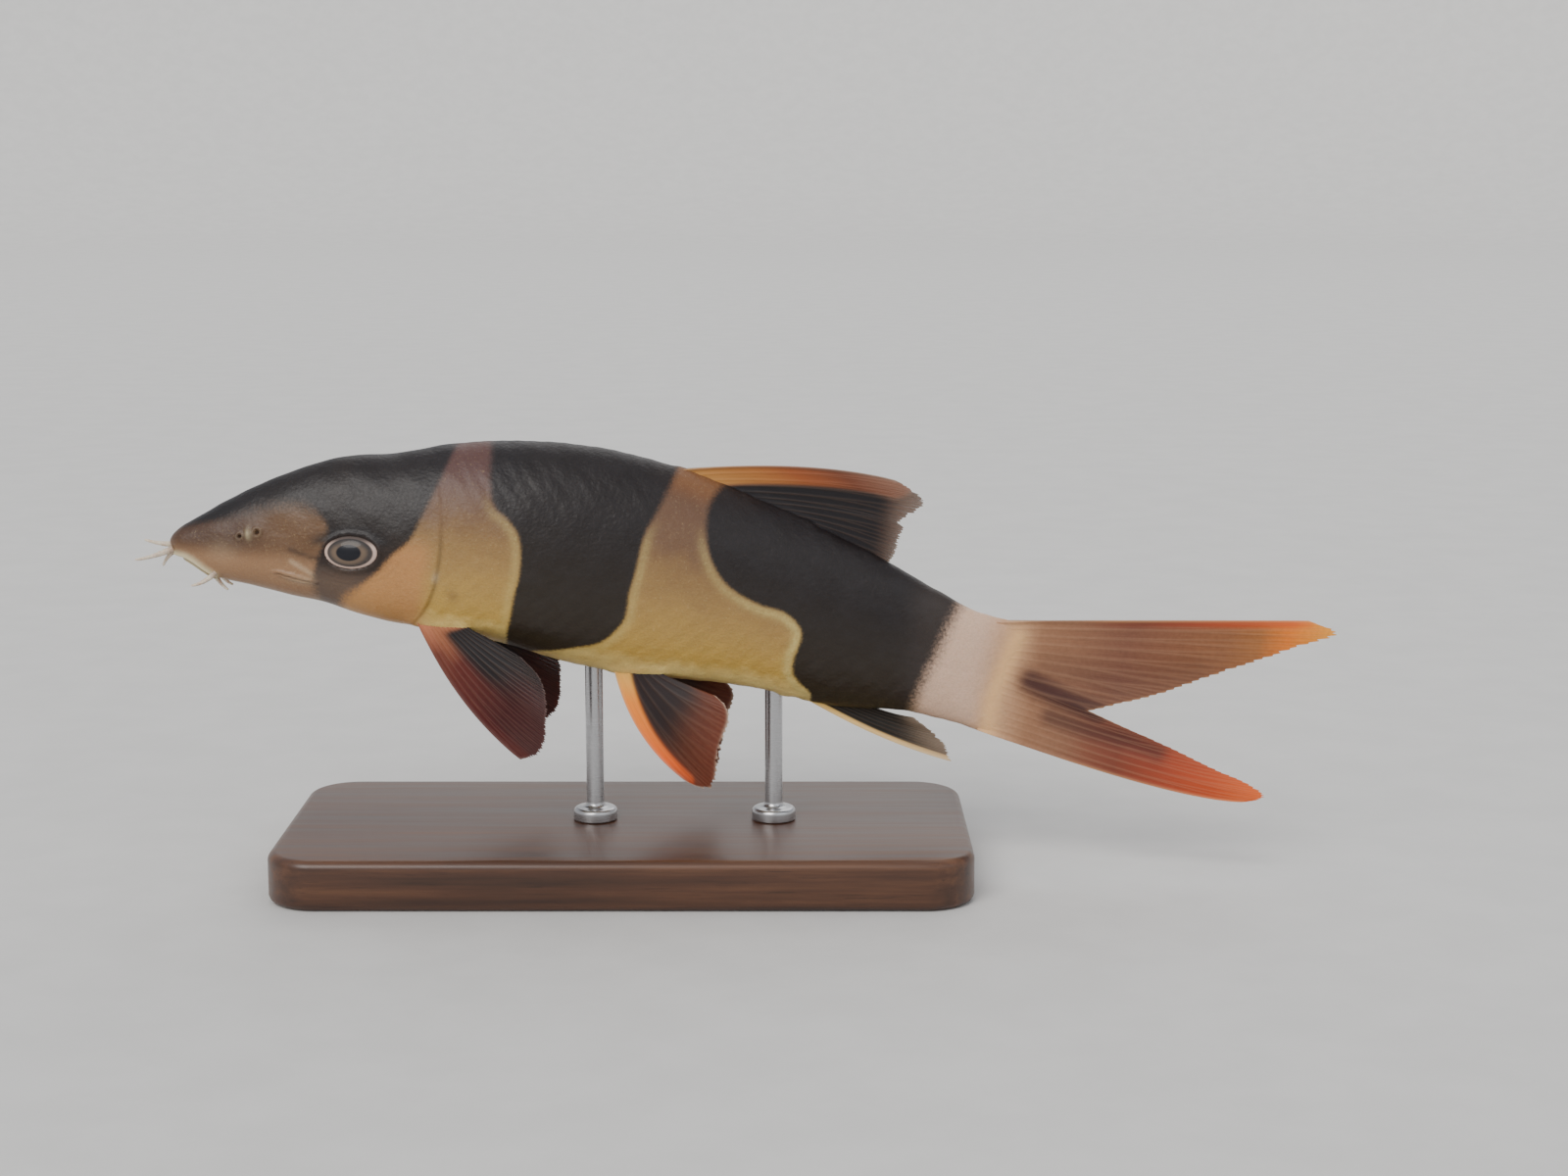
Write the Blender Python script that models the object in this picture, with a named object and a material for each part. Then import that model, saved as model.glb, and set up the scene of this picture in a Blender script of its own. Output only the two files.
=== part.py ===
"""A clown loach swimming level, life size, held over a plain display stand by two short rods.

The fish is drawn in its own frame, in millimetres: x runs from the snout to the tail, y to the fish's
right and z up, with the snout's tip near the origin. Each mesh is then swung with the body, turned
into metres and hung on the pose empty, which pitches the fish head up and lifts it over its stand.
Body sizes are per cent of the standard length, as they are given for real fish.
"""

import math

import bpy
import numpy as np
from mathutils import Matrix, Vector

MM = 0.001

# Driving dimensions, in millimetres and degrees
STANDARD_LENGTH = 150.0
GAP = 0.3
PITCH = 9.3
FIN_CLEARANCE = 8.0
PERCENT = STANDARD_LENGTH / 100

# Stand
BASE_LENGTH = 124.0
BASE_WIDTH = 58.0
BASE_HEIGHT = 9.0
BASE_CORNER = 9.0
BASE_EDGE = 1.4
ROD_RADIUS = 1.6
ROD_FOOT_RADIUS = 4.0
ROD_FOOT_HEIGHT = 2.2
ROD_SHARES = {"stand_rod_front": 51.0, "stand_rod_rear": 73.0}
BASE_CENTRE_SHARE = 55.0

# The body in per cent of standard length: distance from the snout, back, belly, half width
BODY_SECTIONS = np.array(
    [
        (0.0, 1.5, -0.6, 1.5),
        (1.5, 2.5, -1.1, 2.1),
        (6.0, 6.1, -3.0, 3.5),
        (10.7, 9.3, -3.4, 4.5),
        (15.3, 11.9, -3.8, 5.2),
        (20.0, 13.8, -4.1, 5.9),
        (24.0, 14.6, -4.8, 6.6),
        (32.0, 17.2, -5.2, 7.5),
        (40.0, 18.8, -5.5, 7.8),
        (50.0, 19.4, -6.8, 7.6),
        (58.7, 18.5, -6.8, 6.9),
        (70.0, 15.9, -6.3, 5.5),
        (81.3, 12.8, -6.7, 4.1),
        (91.3, 9.2, -6.0, 2.9),
        (96.7, 7.4, -6.4, 2.0),
        (100.8, 7.1, -7.0, 0.9),
    ]
) * PERCENT
# Where the flank is widest, as a share of the depth above the belly, and how square the section is
SECTION_FORM = np.array(
    [
        (0.0, 0.42, 2.0, 2.0),
        (8.0, 0.36, 1.9, 2.5),
        (22.0, 0.38, 1.9, 2.7),
        (38.0, 0.42, 1.8, 2.5),
        (60.0, 0.46, 1.75, 2.3),
        (85.0, 0.50, 1.9, 2.0),
        (101.0, 0.50, 2.4, 2.4),
    ]
)
SECTION_FORM[:, 0] *= PERCENT
# The swimming bend: distance from the snout and the spine's heading there, in degrees to the right
HEADINGS = np.array([(-10.0, 3.0), (30.0, 0.8), (55.0, 0.0), (80.0, -3.0), (100.0, -6.0), (145.0, -3.0)])
HEADINGS[:, 0] *= PERCENT
NOSE_RADIUS = 1.6 * PERCENT
HYPURAL_X = 100.8 * PERCENT

# Where the body is parted
GILL_X = 30.7 * PERCENT
GILL_BACK = 1.8 * PERCENT
GILL_FORWARD = 2.4 * PERCENT
GILL_REACH = 8.0 * PERCENT
GILL_STEP = 0.55
OPERCLE_LIFT = 0.3
STEP_FADE = 2.0 * PERCENT
LIFT_FADE = 3.0 * PERCENT
TAIL_X = 76.3 * PERCENT
AROUND = 36
HEAD_RINGS = 20
TORSO_RINGS = 17
TAIL_RINGS = 11

# Head
EYE_X = 22.1 * PERCENT
EYE_Z = 3.3 * PERCENT
EYE_TILT = 9.0
EYEBALL = (6.6, 3.9, 3.6)
EYE_SUNK = 2.45
RIM_LONG = 5.15
RIM_SHORT = 3.2
RIM_RADIUS = 0.5
NOSTRILS = {"front": (8.6, 2.75, 0.55), "rear": (10.6, 3.6, 0.7)}
NOSTRIL_RIM_RADIUS = 0.28
NOSTRIL_PIT_SHARE = 0.62
NOSTRIL_PIT_DEPTH = 0.9
LIP_FRONT = 1.3
LIP_CORNER_X = 9.3
LIP_CORNER_Y = 3.7
UPPER_LIP_RADIUS = 0.85
LOWER_LIP_RADIUS = 0.75
LOWER_LIP_SETBACK = 1.9
LIP_NARROWING = 0.35
LIP_SINK = 0.1
MOUTH_LINE_RADIUS = 0.4
MOUTH_LINE_SINK = -0.25
SPINE_FOLD = {"x": 23.8, "z": -1.2, "long": 4.6, "high": 0.75, "proud": 0.6, "tilt": -4.0}

# Barbels: root, how far it bows and tip, in millimetres, then the radius at the root
BARBEL_TIP_RADIUS = 0.25
BARBELS = {
    "barbel_rostral_outer_left": ((0.9, -1.5, -0.8), (0.0, -0.4, -0.5), (-5.2, -3.6, -3.4), 0.65),
    "barbel_rostral_outer_right": ((0.9, 1.5, -0.4), (0.0, 0.4, -0.6), (-5.2, 3.7, -0.9), 0.65),
    "barbel_rostral_inner_left": ((1.3, -0.6, -1.0), (-0.6, -0.2, 0.2), (-0.5, -1.1, -4.2), 0.55),
    "barbel_rostral_inner_right": ((1.3, 0.6, -0.9), (-0.4, 0.2, 0.2), (-2.6, 1.3, -2.9), 0.55),
    "barbel_maxillary_left": ((9.3, -4.0, -3.3), (0.3, -0.2, -0.9), (5.5, -5.4, -6.1), 0.6),
    "barbel_maxillary_right": ((9.3, 4.0, -3.3), (0.6, 0.6, -0.6), (7.6, 7.4, -6.4), 0.6),
    "barbel_mandibular_left": ((8.3, -1.5, -3.7), (0.3, 0.0, -0.9), (11.7, -2.6, -6.4), 0.55),
    "barbel_mandibular_right": ((8.3, 1.5, -3.7), (0.3, 0.0, -0.9), (11.7, 2.6, -6.4), 0.55),
}

# Fins: thickness in millimetres
MEMBRANE = 0.5
RAY = 0.84
LEADING_RAY = 1.1
FIN_TIP = 0.34
FIN_TAPER = 0.25
ROOT_SINK = 3.0
ROOT_SWELL_SHARE = 0.22

# Materials: colour, roughness and metallic value
FINISHES = {
    "skin_head": ((0.36, 0.22, 0.12), 0.38, 0.0),
    "skin_body": ((0.62, 0.40, 0.14), 0.38, 0.0),
    "skin_tail": ((0.10, 0.09, 0.09), 0.38, 0.0),
    "eye": ((0.05, 0.05, 0.06), 0.08, 0.0),
    "barbel": ((0.60, 0.55, 0.50), 0.45, 0.0),
    "fin_dark": ((0.16, 0.06, 0.04), 0.42, 0.0),
    "fin_orange": ((0.70, 0.24, 0.08), 0.42, 0.0),
    "stand_wood": ((0.16, 0.09, 0.05), 0.45, 0.0),
    "stand_steel": ((0.62, 0.62, 0.63), 0.28, 1.0),
}


def smooth_table(table, x):
    """Each column of the table after the first, at every x, by cubic pieces that keep its slopes."""
    at = np.clip(np.asarray(x, float), table[0, 0], table[-1, 0])
    step = np.diff(table[:, 0])[:, None]
    rise = np.diff(table[:, 1:], axis=0) / step
    slope = np.zeros_like(table[:, 1:])
    slope[0], slope[-1] = rise[0], rise[-1]
    before, after = step[:-1], step[1:]
    slope[1:-1] = (rise[:-1] * after + rise[1:] * before) / (before + after)
    i = np.clip(np.searchsorted(table[:, 0], at, side="right") - 1, 0, len(table) - 2)
    width = step[i]
    t = ((at - table[i, 0]) / step[i, 0])[..., None]
    start, end = table[i, 1:], table[i + 1, 1:]
    return (
        (1 + 2 * t) * (1 - t) ** 2 * start
        + t * (1 - t) ** 2 * width * slope[i]
        + t * t * (3 - 2 * t) * end
        + t * t * (t - 1) * width * slope[i + 1]
    )


def smoothstep(t):
    t = np.clip(t, 0.0, 1.0)
    return t * t * (3 - 2 * t)


def section(x):
    """Back, belly, half width, widest height and the section's two exponents at x."""
    back, belly, half = np.moveaxis(smooth_table(BODY_SECTIONS, x), -1, 0)
    share, upper, lower = np.moveaxis(smooth_table(SECTION_FORM, x), -1, 0)
    ahead = 1 - np.clip(np.asarray(x, float) / NOSE_RADIUS, 0, 1)
    nose = np.sqrt(np.maximum(1 - ahead**2, 0))
    widest = belly + share * (back - belly)
    return (
        widest + (back - widest) * nose,
        widest + (belly - widest) * nose,
        half * nose,
        widest,
        upper,
        lower,
    )


def body_points(x, angle, offset=0.0):
    """Points of the skin at x and at an angle from the back, lifted by offset."""
    back, belly, half, widest, upper, lower = section(x)
    c, s = np.cos(angle), np.sin(angle)
    power = np.where(c >= 0, 2 / upper, 2 / lower)
    reach = np.where(c >= 0, back - widest, widest - belly)
    side = np.abs(s)
    behind = np.asarray(x, float) - gill_line(side)
    step = -GILL_STEP * np.exp(-np.maximum(behind, 0) / STEP_FADE) * (behind > 0)
    lift = OPERCLE_LIFT * np.exp(np.minimum(behind, 0) / LIFT_FADE) * (behind <= 0)
    grown = offset + (step + lift) * side**2
    y = (half + grown) * np.sign(s) * side**power
    z = widest + (reach + offset) * np.sign(c) * np.abs(c) ** power
    return np.stack([np.broadcast_to(x, y.shape), y, z], -1)


def gill_line(side):
    """Where the gill cover ends: furthest back on the flank, further forward over the nape."""
    return GILL_X - GILL_FORWARD + (GILL_FORWARD + GILL_BACK) * side**1.3


def ring_stations(rings, angle):
    """Ring positions bent near the gill so that one ring follows the gill cover's edge."""
    near = 1 - smoothstep(np.abs(rings - GILL_X) / GILL_REACH)
    shift = gill_line(np.abs(np.sin(angle))) - GILL_X
    return rings[:, None] + near[:, None] * shift[None, :]


def flank(x, z, side):
    """The point of the skin at x and z on one side: side is -1 on the left and 1 on the right."""
    back, belly, half, widest, upper, lower = (float(v) for v in section(x))
    power, reach = (upper, back - widest) if z >= widest else (lower, widest - belly)
    share = min(abs(z - widest) / reach, 1.0)
    return Vector((x, side * half * (1 - share**power) ** (1 / power), z))


def flank_frame(x, z, side, tilt=0.0):
    """A matrix at that point with its own x along the fish, y up the flank and z out of it."""
    small = 0.2
    point = flank(x, z, side)
    along = (flank(x + small, z, side) - flank(x - small, z, side)).normalized()
    up = (flank(x, z + small, side) - flank(x, z - small, side)).normalized()
    out = along.cross(up).normalized()
    if out.y * side < 0:
        out.negate()
    along = (along * math.cos(math.radians(tilt)) + up * math.sin(math.radians(tilt))).normalized()
    up = out.cross(along)
    return Matrix.Translation(point) @ Matrix((along, up, out)).transposed().to_4x4()


def underside(x, y):
    """The height of the skin under the body at x and y."""
    _, belly, half, widest, _, lower = (float(v) for v in section(x))
    share = min(abs(y) / half, 1.0)
    return widest - (widest - belly) * (1 - share**lower) ** (1 / lower)


def make_mesh(name, points, faces, finish):
    """An object of these points, in millimetres, and faces, with the named finish."""
    mesh = bpy.data.meshes.new(name)
    mesh.from_pydata((np.asarray(points, float) * MM).tolist(), [], faces)
    mesh.validate()
    obj = bpy.data.objects.new(name, mesh)
    bpy.context.scene.collection.objects.link(obj)
    if finish:
        mesh.materials.append(material(finish))
    return obj


def material(name):
    found = bpy.data.materials.get(name)
    if found:
        return found
    colour, roughness, metallic = FINISHES[name]
    made = bpy.data.materials.new(name)
    made.use_nodes = True
    shader = made.node_tree.nodes["Principled BSDF"]
    shader.inputs["Base Color"].default_value = (*colour, 1)
    shader.inputs["Roughness"].default_value = roughness
    shader.inputs["Metallic"].default_value = metallic
    made.diffuse_color = (*colour, 1)
    return made


def loft(rings, closed_start, closed_end):
    """Points and faces of a closed body through rings of equal count, each end fanned to a point."""
    count, around, _ = rings.shape
    points = [tuple(p) for p in rings.reshape(-1, 3)]
    faces = []
    for i in range(count - 1):
        for j in range(around):
            k = (j + 1) % around
            a, b = i * around + j, i * around + k
            c, d = a + around, b + around
            faces += [(a, b, d), (a, d, c)]
    points += [tuple(closed_start), tuple(closed_end)]
    first, last, top = len(points) - 2, len(points) - 1, (count - 1) * around
    for j in range(around):
        k = (j + 1) % around
        faces.append((first, k, j))
        faces.append((last, top + j, top + k))
    return points, faces


def body_part(name, stations, finish, offset=0.0, nose=False):
    """One length of the body, through rings at these stations."""
    angle = np.arange(AROUND) * 2 * math.pi / AROUND
    x = ring_stations(np.asarray(stations, float), angle)
    rings = body_points(x, angle[None, :], offset)
    start, end = rings[0].mean(0), rings[-1].mean(0)
    if nose:
        start = (-offset, 0.0, float(section(0.0)[3]))
    points, faces = loft(rings, start, end)
    return make_mesh(name, points, faces, finish)


def nose_stations(first, last, count):
    """Stations that crowd together at the nose."""
    share = np.linspace(0, 1, count + 1)[1:]
    return first + (last - first) * share**1.6


def tube(name, path, radii, sides, finish=None):
    """A round closed tube along a path with a radius at each point."""
    path = [Vector(p) for p in path]
    rings = []
    normal = Vector((0.3, 1.0, 0.2))
    for i, point in enumerate(path):
        ahead = path[min(i + 1, len(path) - 1)] - path[max(i - 1, 0)]
        ahead.normalize()
        normal = (normal - ahead * normal.dot(ahead)).normalized()
        across = ahead.cross(normal)
        turns = [2 * math.pi * j / sides for j in range(sides)]
        rings.append([point + (normal * math.cos(t) + across * math.sin(t)) * radii[i] for t in turns])
    points, faces = loft(np.array(rings), np.array(path[0]), np.array(path[-1]))
    return make_mesh(name, points, faces, finish)


def ring_tube(name, path, radius, sides, finish=None):
    """A round tube along a closed path."""
    count = len(path)
    rings = []
    for i in range(count):
        ahead = (Vector(path[(i + 1) % count]) - Vector(path[i - 1])).normalized()
        normal = (Vector((0, 1, 0)) - ahead * ahead.y).normalized()
        across = ahead.cross(normal)
        turns = [2 * math.pi * j / sides for j in range(sides)]
        rings.append(
            [Vector(path[i]) + (normal * math.cos(t) + across * math.sin(t)) * radius for t in turns]
        )
    points = np.array(rings).reshape(-1, 3)
    faces = []
    for i in range(count):
        for j in range(sides):
            a, b = i * sides + j, i * sides + (j + 1) % sides
            c, d = (a + sides) % len(points), (b + sides) % len(points)
            faces += [(a, b, d), (a, d, c)]
    return make_mesh(name, points, faces, finish)


def ellipsoid(name, frame, axes, finish=None, turns=20, levels=10):
    """A closed ellipsoid with these half axes along the frame's own x, y and z."""
    levels_up = np.arange(1, levels) * math.pi / levels
    turn = np.arange(turns) * 2 * math.pi / turns
    rings = np.stack(
        [
            np.sin(levels_up)[:, None] * np.cos(turn)[None, :] * axes[0],
            np.sin(levels_up)[:, None] * np.sin(turn)[None, :] * axes[1],
            np.broadcast_to(np.cos(levels_up)[:, None] * axes[2], (levels - 1, turns)),
        ],
        -1,
    )
    points, faces = loft(rings, (0, 0, axes[2]), (0, 0, -axes[2]))
    placed = [frame @ Vector(p) for p in points]
    return make_mesh(name, placed, faces, finish)


def face_outwards(obj):
    """Turns every face of a closed mesh outwards."""
    volume = 0.0
    mesh = obj.data
    mesh.calc_loop_triangles()
    for triangle in mesh.loop_triangles:
        a, b, c = (mesh.vertices[i].co for i in triangle.vertices)
        volume += a.dot(b.cross(c))
    if volume < 0:
        mesh.flip_normals()
    return obj


def combine(obj, others, operation):
    """Joins the others to obj, or cuts them from it, by one Boolean, and removes them."""
    group = bpy.data.collections.new("operands")
    bpy.context.scene.collection.children.link(group)
    for other in others:
        group.objects.link(face_outwards(other))
        bpy.context.scene.collection.objects.unlink(other)
    face_outwards(obj)
    modifier = obj.modifiers.new("combine", "BOOLEAN")
    modifier.operation = operation
    modifier.operand_type = "COLLECTION"
    modifier.collection = group
    modifier.solver = "EXACT"
    bpy.context.view_layer.update()
    graph = bpy.context.evaluated_depsgraph_get()
    made = bpy.data.meshes.new_from_object(obj.evaluated_get(graph))
    obj.modifiers.clear()
    obj.data = made
    for other in list(group.objects):
        bpy.data.objects.remove(other)
    bpy.data.collections.remove(group)
    return keep_largest(obj)


def keep_largest(obj):
    """Keeps only the surface with the most volume, as triangles."""
    mesh = obj.data
    mesh.calc_loop_triangles()
    points = np.array([v.co for v in mesh.vertices], float)
    triangles = np.array([t.vertices for t in mesh.loop_triangles])
    label = np.arange(len(points))
    while True:
        lowest = label[triangles].min(1)
        before = label.copy()
        for corner in range(3):
            np.minimum.at(label, triangles[:, corner], lowest)
        label = label[label]
        if (label == before).all():
            break
    groups = label[triangles[:, 0]]
    corners = points[triangles]
    volumes = np.einsum("ij,ij->i", corners[:, 0], np.cross(corners[:, 1], corners[:, 2]))
    names = np.unique(groups)
    best = max(names, key=lambda g: volumes[groups == g].sum())
    kept = triangles[groups == best]
    used, renumbered = np.unique(kept, return_inverse=True)
    fresh = bpy.data.meshes.new(obj.name)
    fresh.from_pydata(points[used].tolist(), [], renumbered.reshape(-1, 3).tolist())
    for slot in mesh.materials:
        if slot:
            fresh.materials.append(slot)
    obj.data = fresh
    return obj


def make_head():
    """The head as one closed body, with its lips, orbital rims, nostrils and spine folds."""
    stations = nose_stations(0.0, GILL_X - GAP / 2, HEAD_RINGS)
    head = body_part("head", stations, "skin_head", nose=True)
    raised = lips(0.0)
    sunk = [lip("mouth_line", LOWER_LIP_SETBACK / 2, MOUTH_LINE_RADIUS, MOUTH_LINE_SINK)]
    for side in (-1, 1):
        raised.append(orbital_rim(side))
        raised.append(spine_fold(side))
        for where in NOSTRILS:
            rim, pit = nostril(where, side)
            raised.append(rim)
            sunk.append(pit)
        grown = [axis + GAP for axis in EYEBALL]
        sunk.append(ellipsoid("socket", eye_frame(side), grown))
    combine(head, raised, "UNION")
    return combine(head, sunk, "DIFFERENCE")


def lips(offset):
    """Both lips, each thicker by offset."""
    upper = lip("upper_lip", 0.0, UPPER_LIP_RADIUS + offset, LIP_SINK)
    lower = lip("lower_lip", LOWER_LIP_SETBACK, LOWER_LIP_RADIUS + offset, LIP_SINK)
    return [upper, lower]


def lip(name, setback, radius, lowered):
    """A tube round the mouth's U, under the snout, set back from the snout's tip."""
    shares = np.linspace(-1, 1, 15)
    path, radii = [], []
    for s in shares:
        front = LIP_FRONT + setback
        x = front + (LIP_CORNER_X - front) * abs(s) ** 2.2
        y = (LIP_CORNER_Y - LIP_NARROWING * setback) * math.sin(s * math.pi / 2)
        path.append((x, y, underside(x, y) - lowered))
        radii.append(radius * (1 - LIP_NARROWING * s * s))
    return tube(name, path, radii, 8)


def eye_frame(side):
    return flank_frame(EYE_X, EYE_Z, side, EYE_TILT) @ Matrix.Translation((0, 0, -EYE_SUNK))


def orbital_rim(side):
    """The raised free rim of skin round the eye."""
    tilt = math.radians(EYE_TILT)
    path = []
    for turn in np.arange(24) * 2 * math.pi / 24:
        along, up = RIM_LONG * math.cos(turn), RIM_SHORT * math.sin(turn)
        x = EYE_X + along * math.cos(tilt) - up * math.sin(tilt)
        z = EYE_Z + along * math.sin(tilt) + up * math.cos(tilt)
        path.append(flank(x, z, side))
    return ring_tube("orbital_rim", path, RIM_RADIUS, 5)


def spine_fold(side):
    """The long low fold under the eye where the spine lies."""
    fold = SPINE_FOLD
    frame = flank_frame(fold["x"], fold["z"], side, fold["tilt"])
    return ellipsoid("spine_fold", frame, (fold["long"], fold["high"], fold["proud"]), turns=12, levels=6)


def nostril(where, side):
    """A low round rim and the pit inside it."""
    x, z, radius = NOSTRILS[where]
    frame = flank_frame(x * PERCENT, z * PERCENT, side)
    turns = np.arange(9) * 2 * math.pi / 9
    ring = [frame @ Vector((radius * math.cos(t), radius * math.sin(t), 0.05)) for t in turns]
    rim = ring_tube("nostril_rim", ring, NOSTRIL_RIM_RADIUS, 5)
    inner = radius * NOSTRIL_PIT_SHARE
    pit = ellipsoid("nostril_pit", frame, (inner, inner, NOSTRIL_PIT_DEPTH), turns=8, levels=4)
    return rim, pit


def make_eyes():
    for side, name in ((-1, "eye_left"), (1, "eye_right")):
        ellipsoid(name, eye_frame(side), EYEBALL, "eye")


def make_barbels(body):
    """Each barbel as a tapered tube whose root is cut to the head's skin."""
    for name, (root, bow, tip, radius) in BARBELS.items():
        root, tip = Vector(root), Vector(tip)
        bend = (root + tip) / 2 + Vector(bow)
        shares = np.linspace(0, 1, 9)
        path = [root * (1 - t) ** 2 + bend * 2 * t * (1 - t) + tip * t * t for t in shares]
        radii = [radius + (BARBEL_TIP_RADIUS - radius) * t**0.8 for t in shares]
        barbel = tube(name, path, radii, 8, "barbel")
        cut_to(barbel, body)


def cut_to(obj, body):
    """Cuts a copy of the body from obj."""
    copy = body.copy()
    copy.data = body.data.copy()
    bpy.context.scene.collection.objects.link(copy)
    return combine(obj, [copy], "DIFFERENCE")


def fin_points(fin, u, v):
    """The middle of a fin at share u along its rays and share v from its first ray to its last."""
    start, end = np.array(fin["base"], float)
    root = start + (end - start) * v
    margin = np.array(fin["margin"], float)
    places = np.linspace(0, 1, len(margin))
    tip = smooth_table(np.column_stack([places, margin]), v)
    bow = np.array(fin["bow"][0]) * (1 - v) + np.array(fin["bow"][1]) * v
    bend = (root + tip) / 2 + bow
    inwards = (root - bend) / np.linalg.norm(root - bend)
    sink = fin.get("sink", ROOT_SINK)
    if u < 0:
        return root + inwards * sink * -u
    return root * (1 - u) ** 2 + bend * 2 * u * (1 - u) + tip * u * u


def fin_solid(name, fin, finish):
    """A fin as a thin closed sheet whose rays stand out as ridges on both faces."""
    rays, rows = fin["rays"], fin.get("rows", 9)
    columns = 2 * rays - 1
    along = np.linspace(0, 1, rows)
    if fin.get("sink", ROOT_SINK) > 0:
        along = np.concatenate([[-1.0], along])
    across = np.linspace(0, 1, columns)
    middle = np.array([[fin_points(fin, u, v) for v in across] for u in along])
    out = np.cross(np.gradient(middle, axis=1), np.gradient(middle, axis=0))
    out /= np.linalg.norm(out, axis=2)[:, :, None]
    cup = fin.get("cup", 0.0) * np.outer(np.clip(along, 0, 1), np.sin(across * math.pi))
    middle = middle + out * cup[:, :, None]
    half = fin_half_thickness(fin, along, rays)
    upper, lower = middle + out * half[:, :, None], middle - out * half[:, :, None]
    points, faces = sheet_between(upper, lower)
    return face_outwards(make_mesh(name, points, faces, finish))


def fin_half_thickness(fin, along, rays):
    """Half the fin's thickness at each row and column: thick on a ray, thin between, thin at the tip."""
    columns = 2 * rays - 1
    on_ray = np.where(np.arange(columns) % 2 == 0, RAY, MEMBRANE)
    for edge in fin.get("edges", (0,)):
        on_ray[edge] = LEADING_RAY
    taper = 1 - FIN_TAPER * np.clip(along, 0, 1)
    full = np.maximum(on_ray[None, :] * taper[:, None], MEMBRANE)
    full[-1] = FIN_TIP
    root = fin.get("root_thickness")
    if root:
        swell = np.clip(1 - np.clip(along, 0, 1) / ROOT_SWELL_SHARE, 0, 1)[:, None] ** 1.5
        full = full + (root - full) * swell
    return full / 2


def sheet_between(upper, lower):
    """A closed mesh between two grids, its two faces split into triangles alike."""
    rows, columns, _ = upper.shape
    points = np.concatenate([upper.reshape(-1, 3), lower.reshape(-1, 3)])
    below = rows * columns
    faces = []
    for i in range(rows - 1):
        for j in range(columns - 1):
            a, b = i * columns + j, i * columns + j + 1
            c, d = a + columns, b + columns
            faces += [(a, b, d), (a, d, c)]
            faces += [(below + a, below + d, below + b), (below + a, below + c, below + d)]
    edge = list(range(columns))
    edge += [i * columns + columns - 1 for i in range(1, rows)]
    edge += [(rows - 1) * columns + j for j in range(columns - 2, -1, -1)]
    edge += [i * columns for i in range(rows - 2, 0, -1)]
    for n, a in enumerate(edge):
        b = edge[(n + 1) % len(edge)]
        faces += [(b, a, below + a), (b, below + a, below + b)]
    return points, faces


def fins():
    """Every fin's base line, margin and bow, in millimetres in the fish's frame."""
    top, bottom = (lambda x: float(section(x)[0])), (lambda x: float(section(x)[1]))
    base_top = (HYPURAL_X + GAP, 0, top(HYPURAL_X))
    base_low = (HYPURAL_X + GAP, 0, bottom(HYPURAL_X))
    middle = np.array(base_top) * 0.5 + np.array(base_low) * 0.5
    notch = (167.8, 0.0, -3.1)
    split = np.array((0.0, 0.0, GAP / 2))
    shapes = {
        "dorsal_fin": {
            "base": ((88.0, 0, top(88.0) - 0.2), (112.5, 0, top(112.5) - 0.2)),
            "margin": (
                (126.4, 0.0, 32.0),
                (129.2, 0.1, 31.1),
                (131.8, 0.2, 29.6),
                (132.1, 0.3, 28.4),
                (130.6, 0.4, 26.4),
                (128.4, 0.6, 24.6),
                (129.4, 0.7, 23.9),
                (129.0, 0.8, 22.2),
                (128.8, 0.8, 20.6),
                (128.6, 0.7, 19.0),
                (127.8, 0.6, 17.6),
            ),
            "bow": ((3.8, 0, 3.5), (0, 0, 0.9)),
            "rays": 11,
        },
        "anal_fin": {
            "base": ((116.8, 0, bottom(116.8) + 0.2), (128.5, 0, bottom(128.5) + 0.2)),
            "margin": ((145.0, 0, -16.8), (143.6, 0.3, -14.2), (140.5, 0.4, -11.9), (137.0, 0.2, -10.0)),
            "bow": ((0, 0, -2.2), (0, 0, -0.5)),
            "rays": 8,
            "rows": 8,
        },
        "caudal_fin_upper": {
            "base": (base_top, middle + split),
            "margin": (
                (202.8, 0, 20.0),
                (208.5, 0, 18.7),
                (203.0, 0.5, 15.5),
                (197.4, 0.8, 12.1),
                (191.4, 1.1, 8.7),
                (185.6, 1.2, 5.4),
                (179.8, 1.0, 2.2),
                (174.0, 0.6, -0.4),
                notch + split,
            ),
            "bow": ((0.0, 0, 0.2), (0, 0, -0.4)),
            "rays": 9,
            "rows": 12,
            "sink": 0.0,
            "root_thickness": 2.6,
        },
        "caudal_fin_lower": {
            "base": (middle - split, base_low),
            "margin": (
                notch - split,
                (174.4, 0.6, -4.9),
                (181.0, 1.0, -6.6),
                (187.0, 1.2, -8.3),
                (192.6, 1.0, -9.8),
                (197.6, 0.6, -11.0),
                (201.2, 0.2, -12.5),
                (200.4, 0, -13.6),
                (197.7, 0, -14.5),
            ),
            "bow": ((0, 0, -0.4), (11.4, 0, -3.8)),
            "rays": 9,
            "rows": 12,
            "sink": 0.0,
            "root_thickness": 2.6,
            "edges": (-1,),
        },
    }
    for side, word in ((-1, "left"), (1, "right")):
        shapes["pectoral_fin_" + word] = pectoral(side)
        shapes["pelvic_fin_" + word] = pelvic(side)
    return shapes


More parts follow.
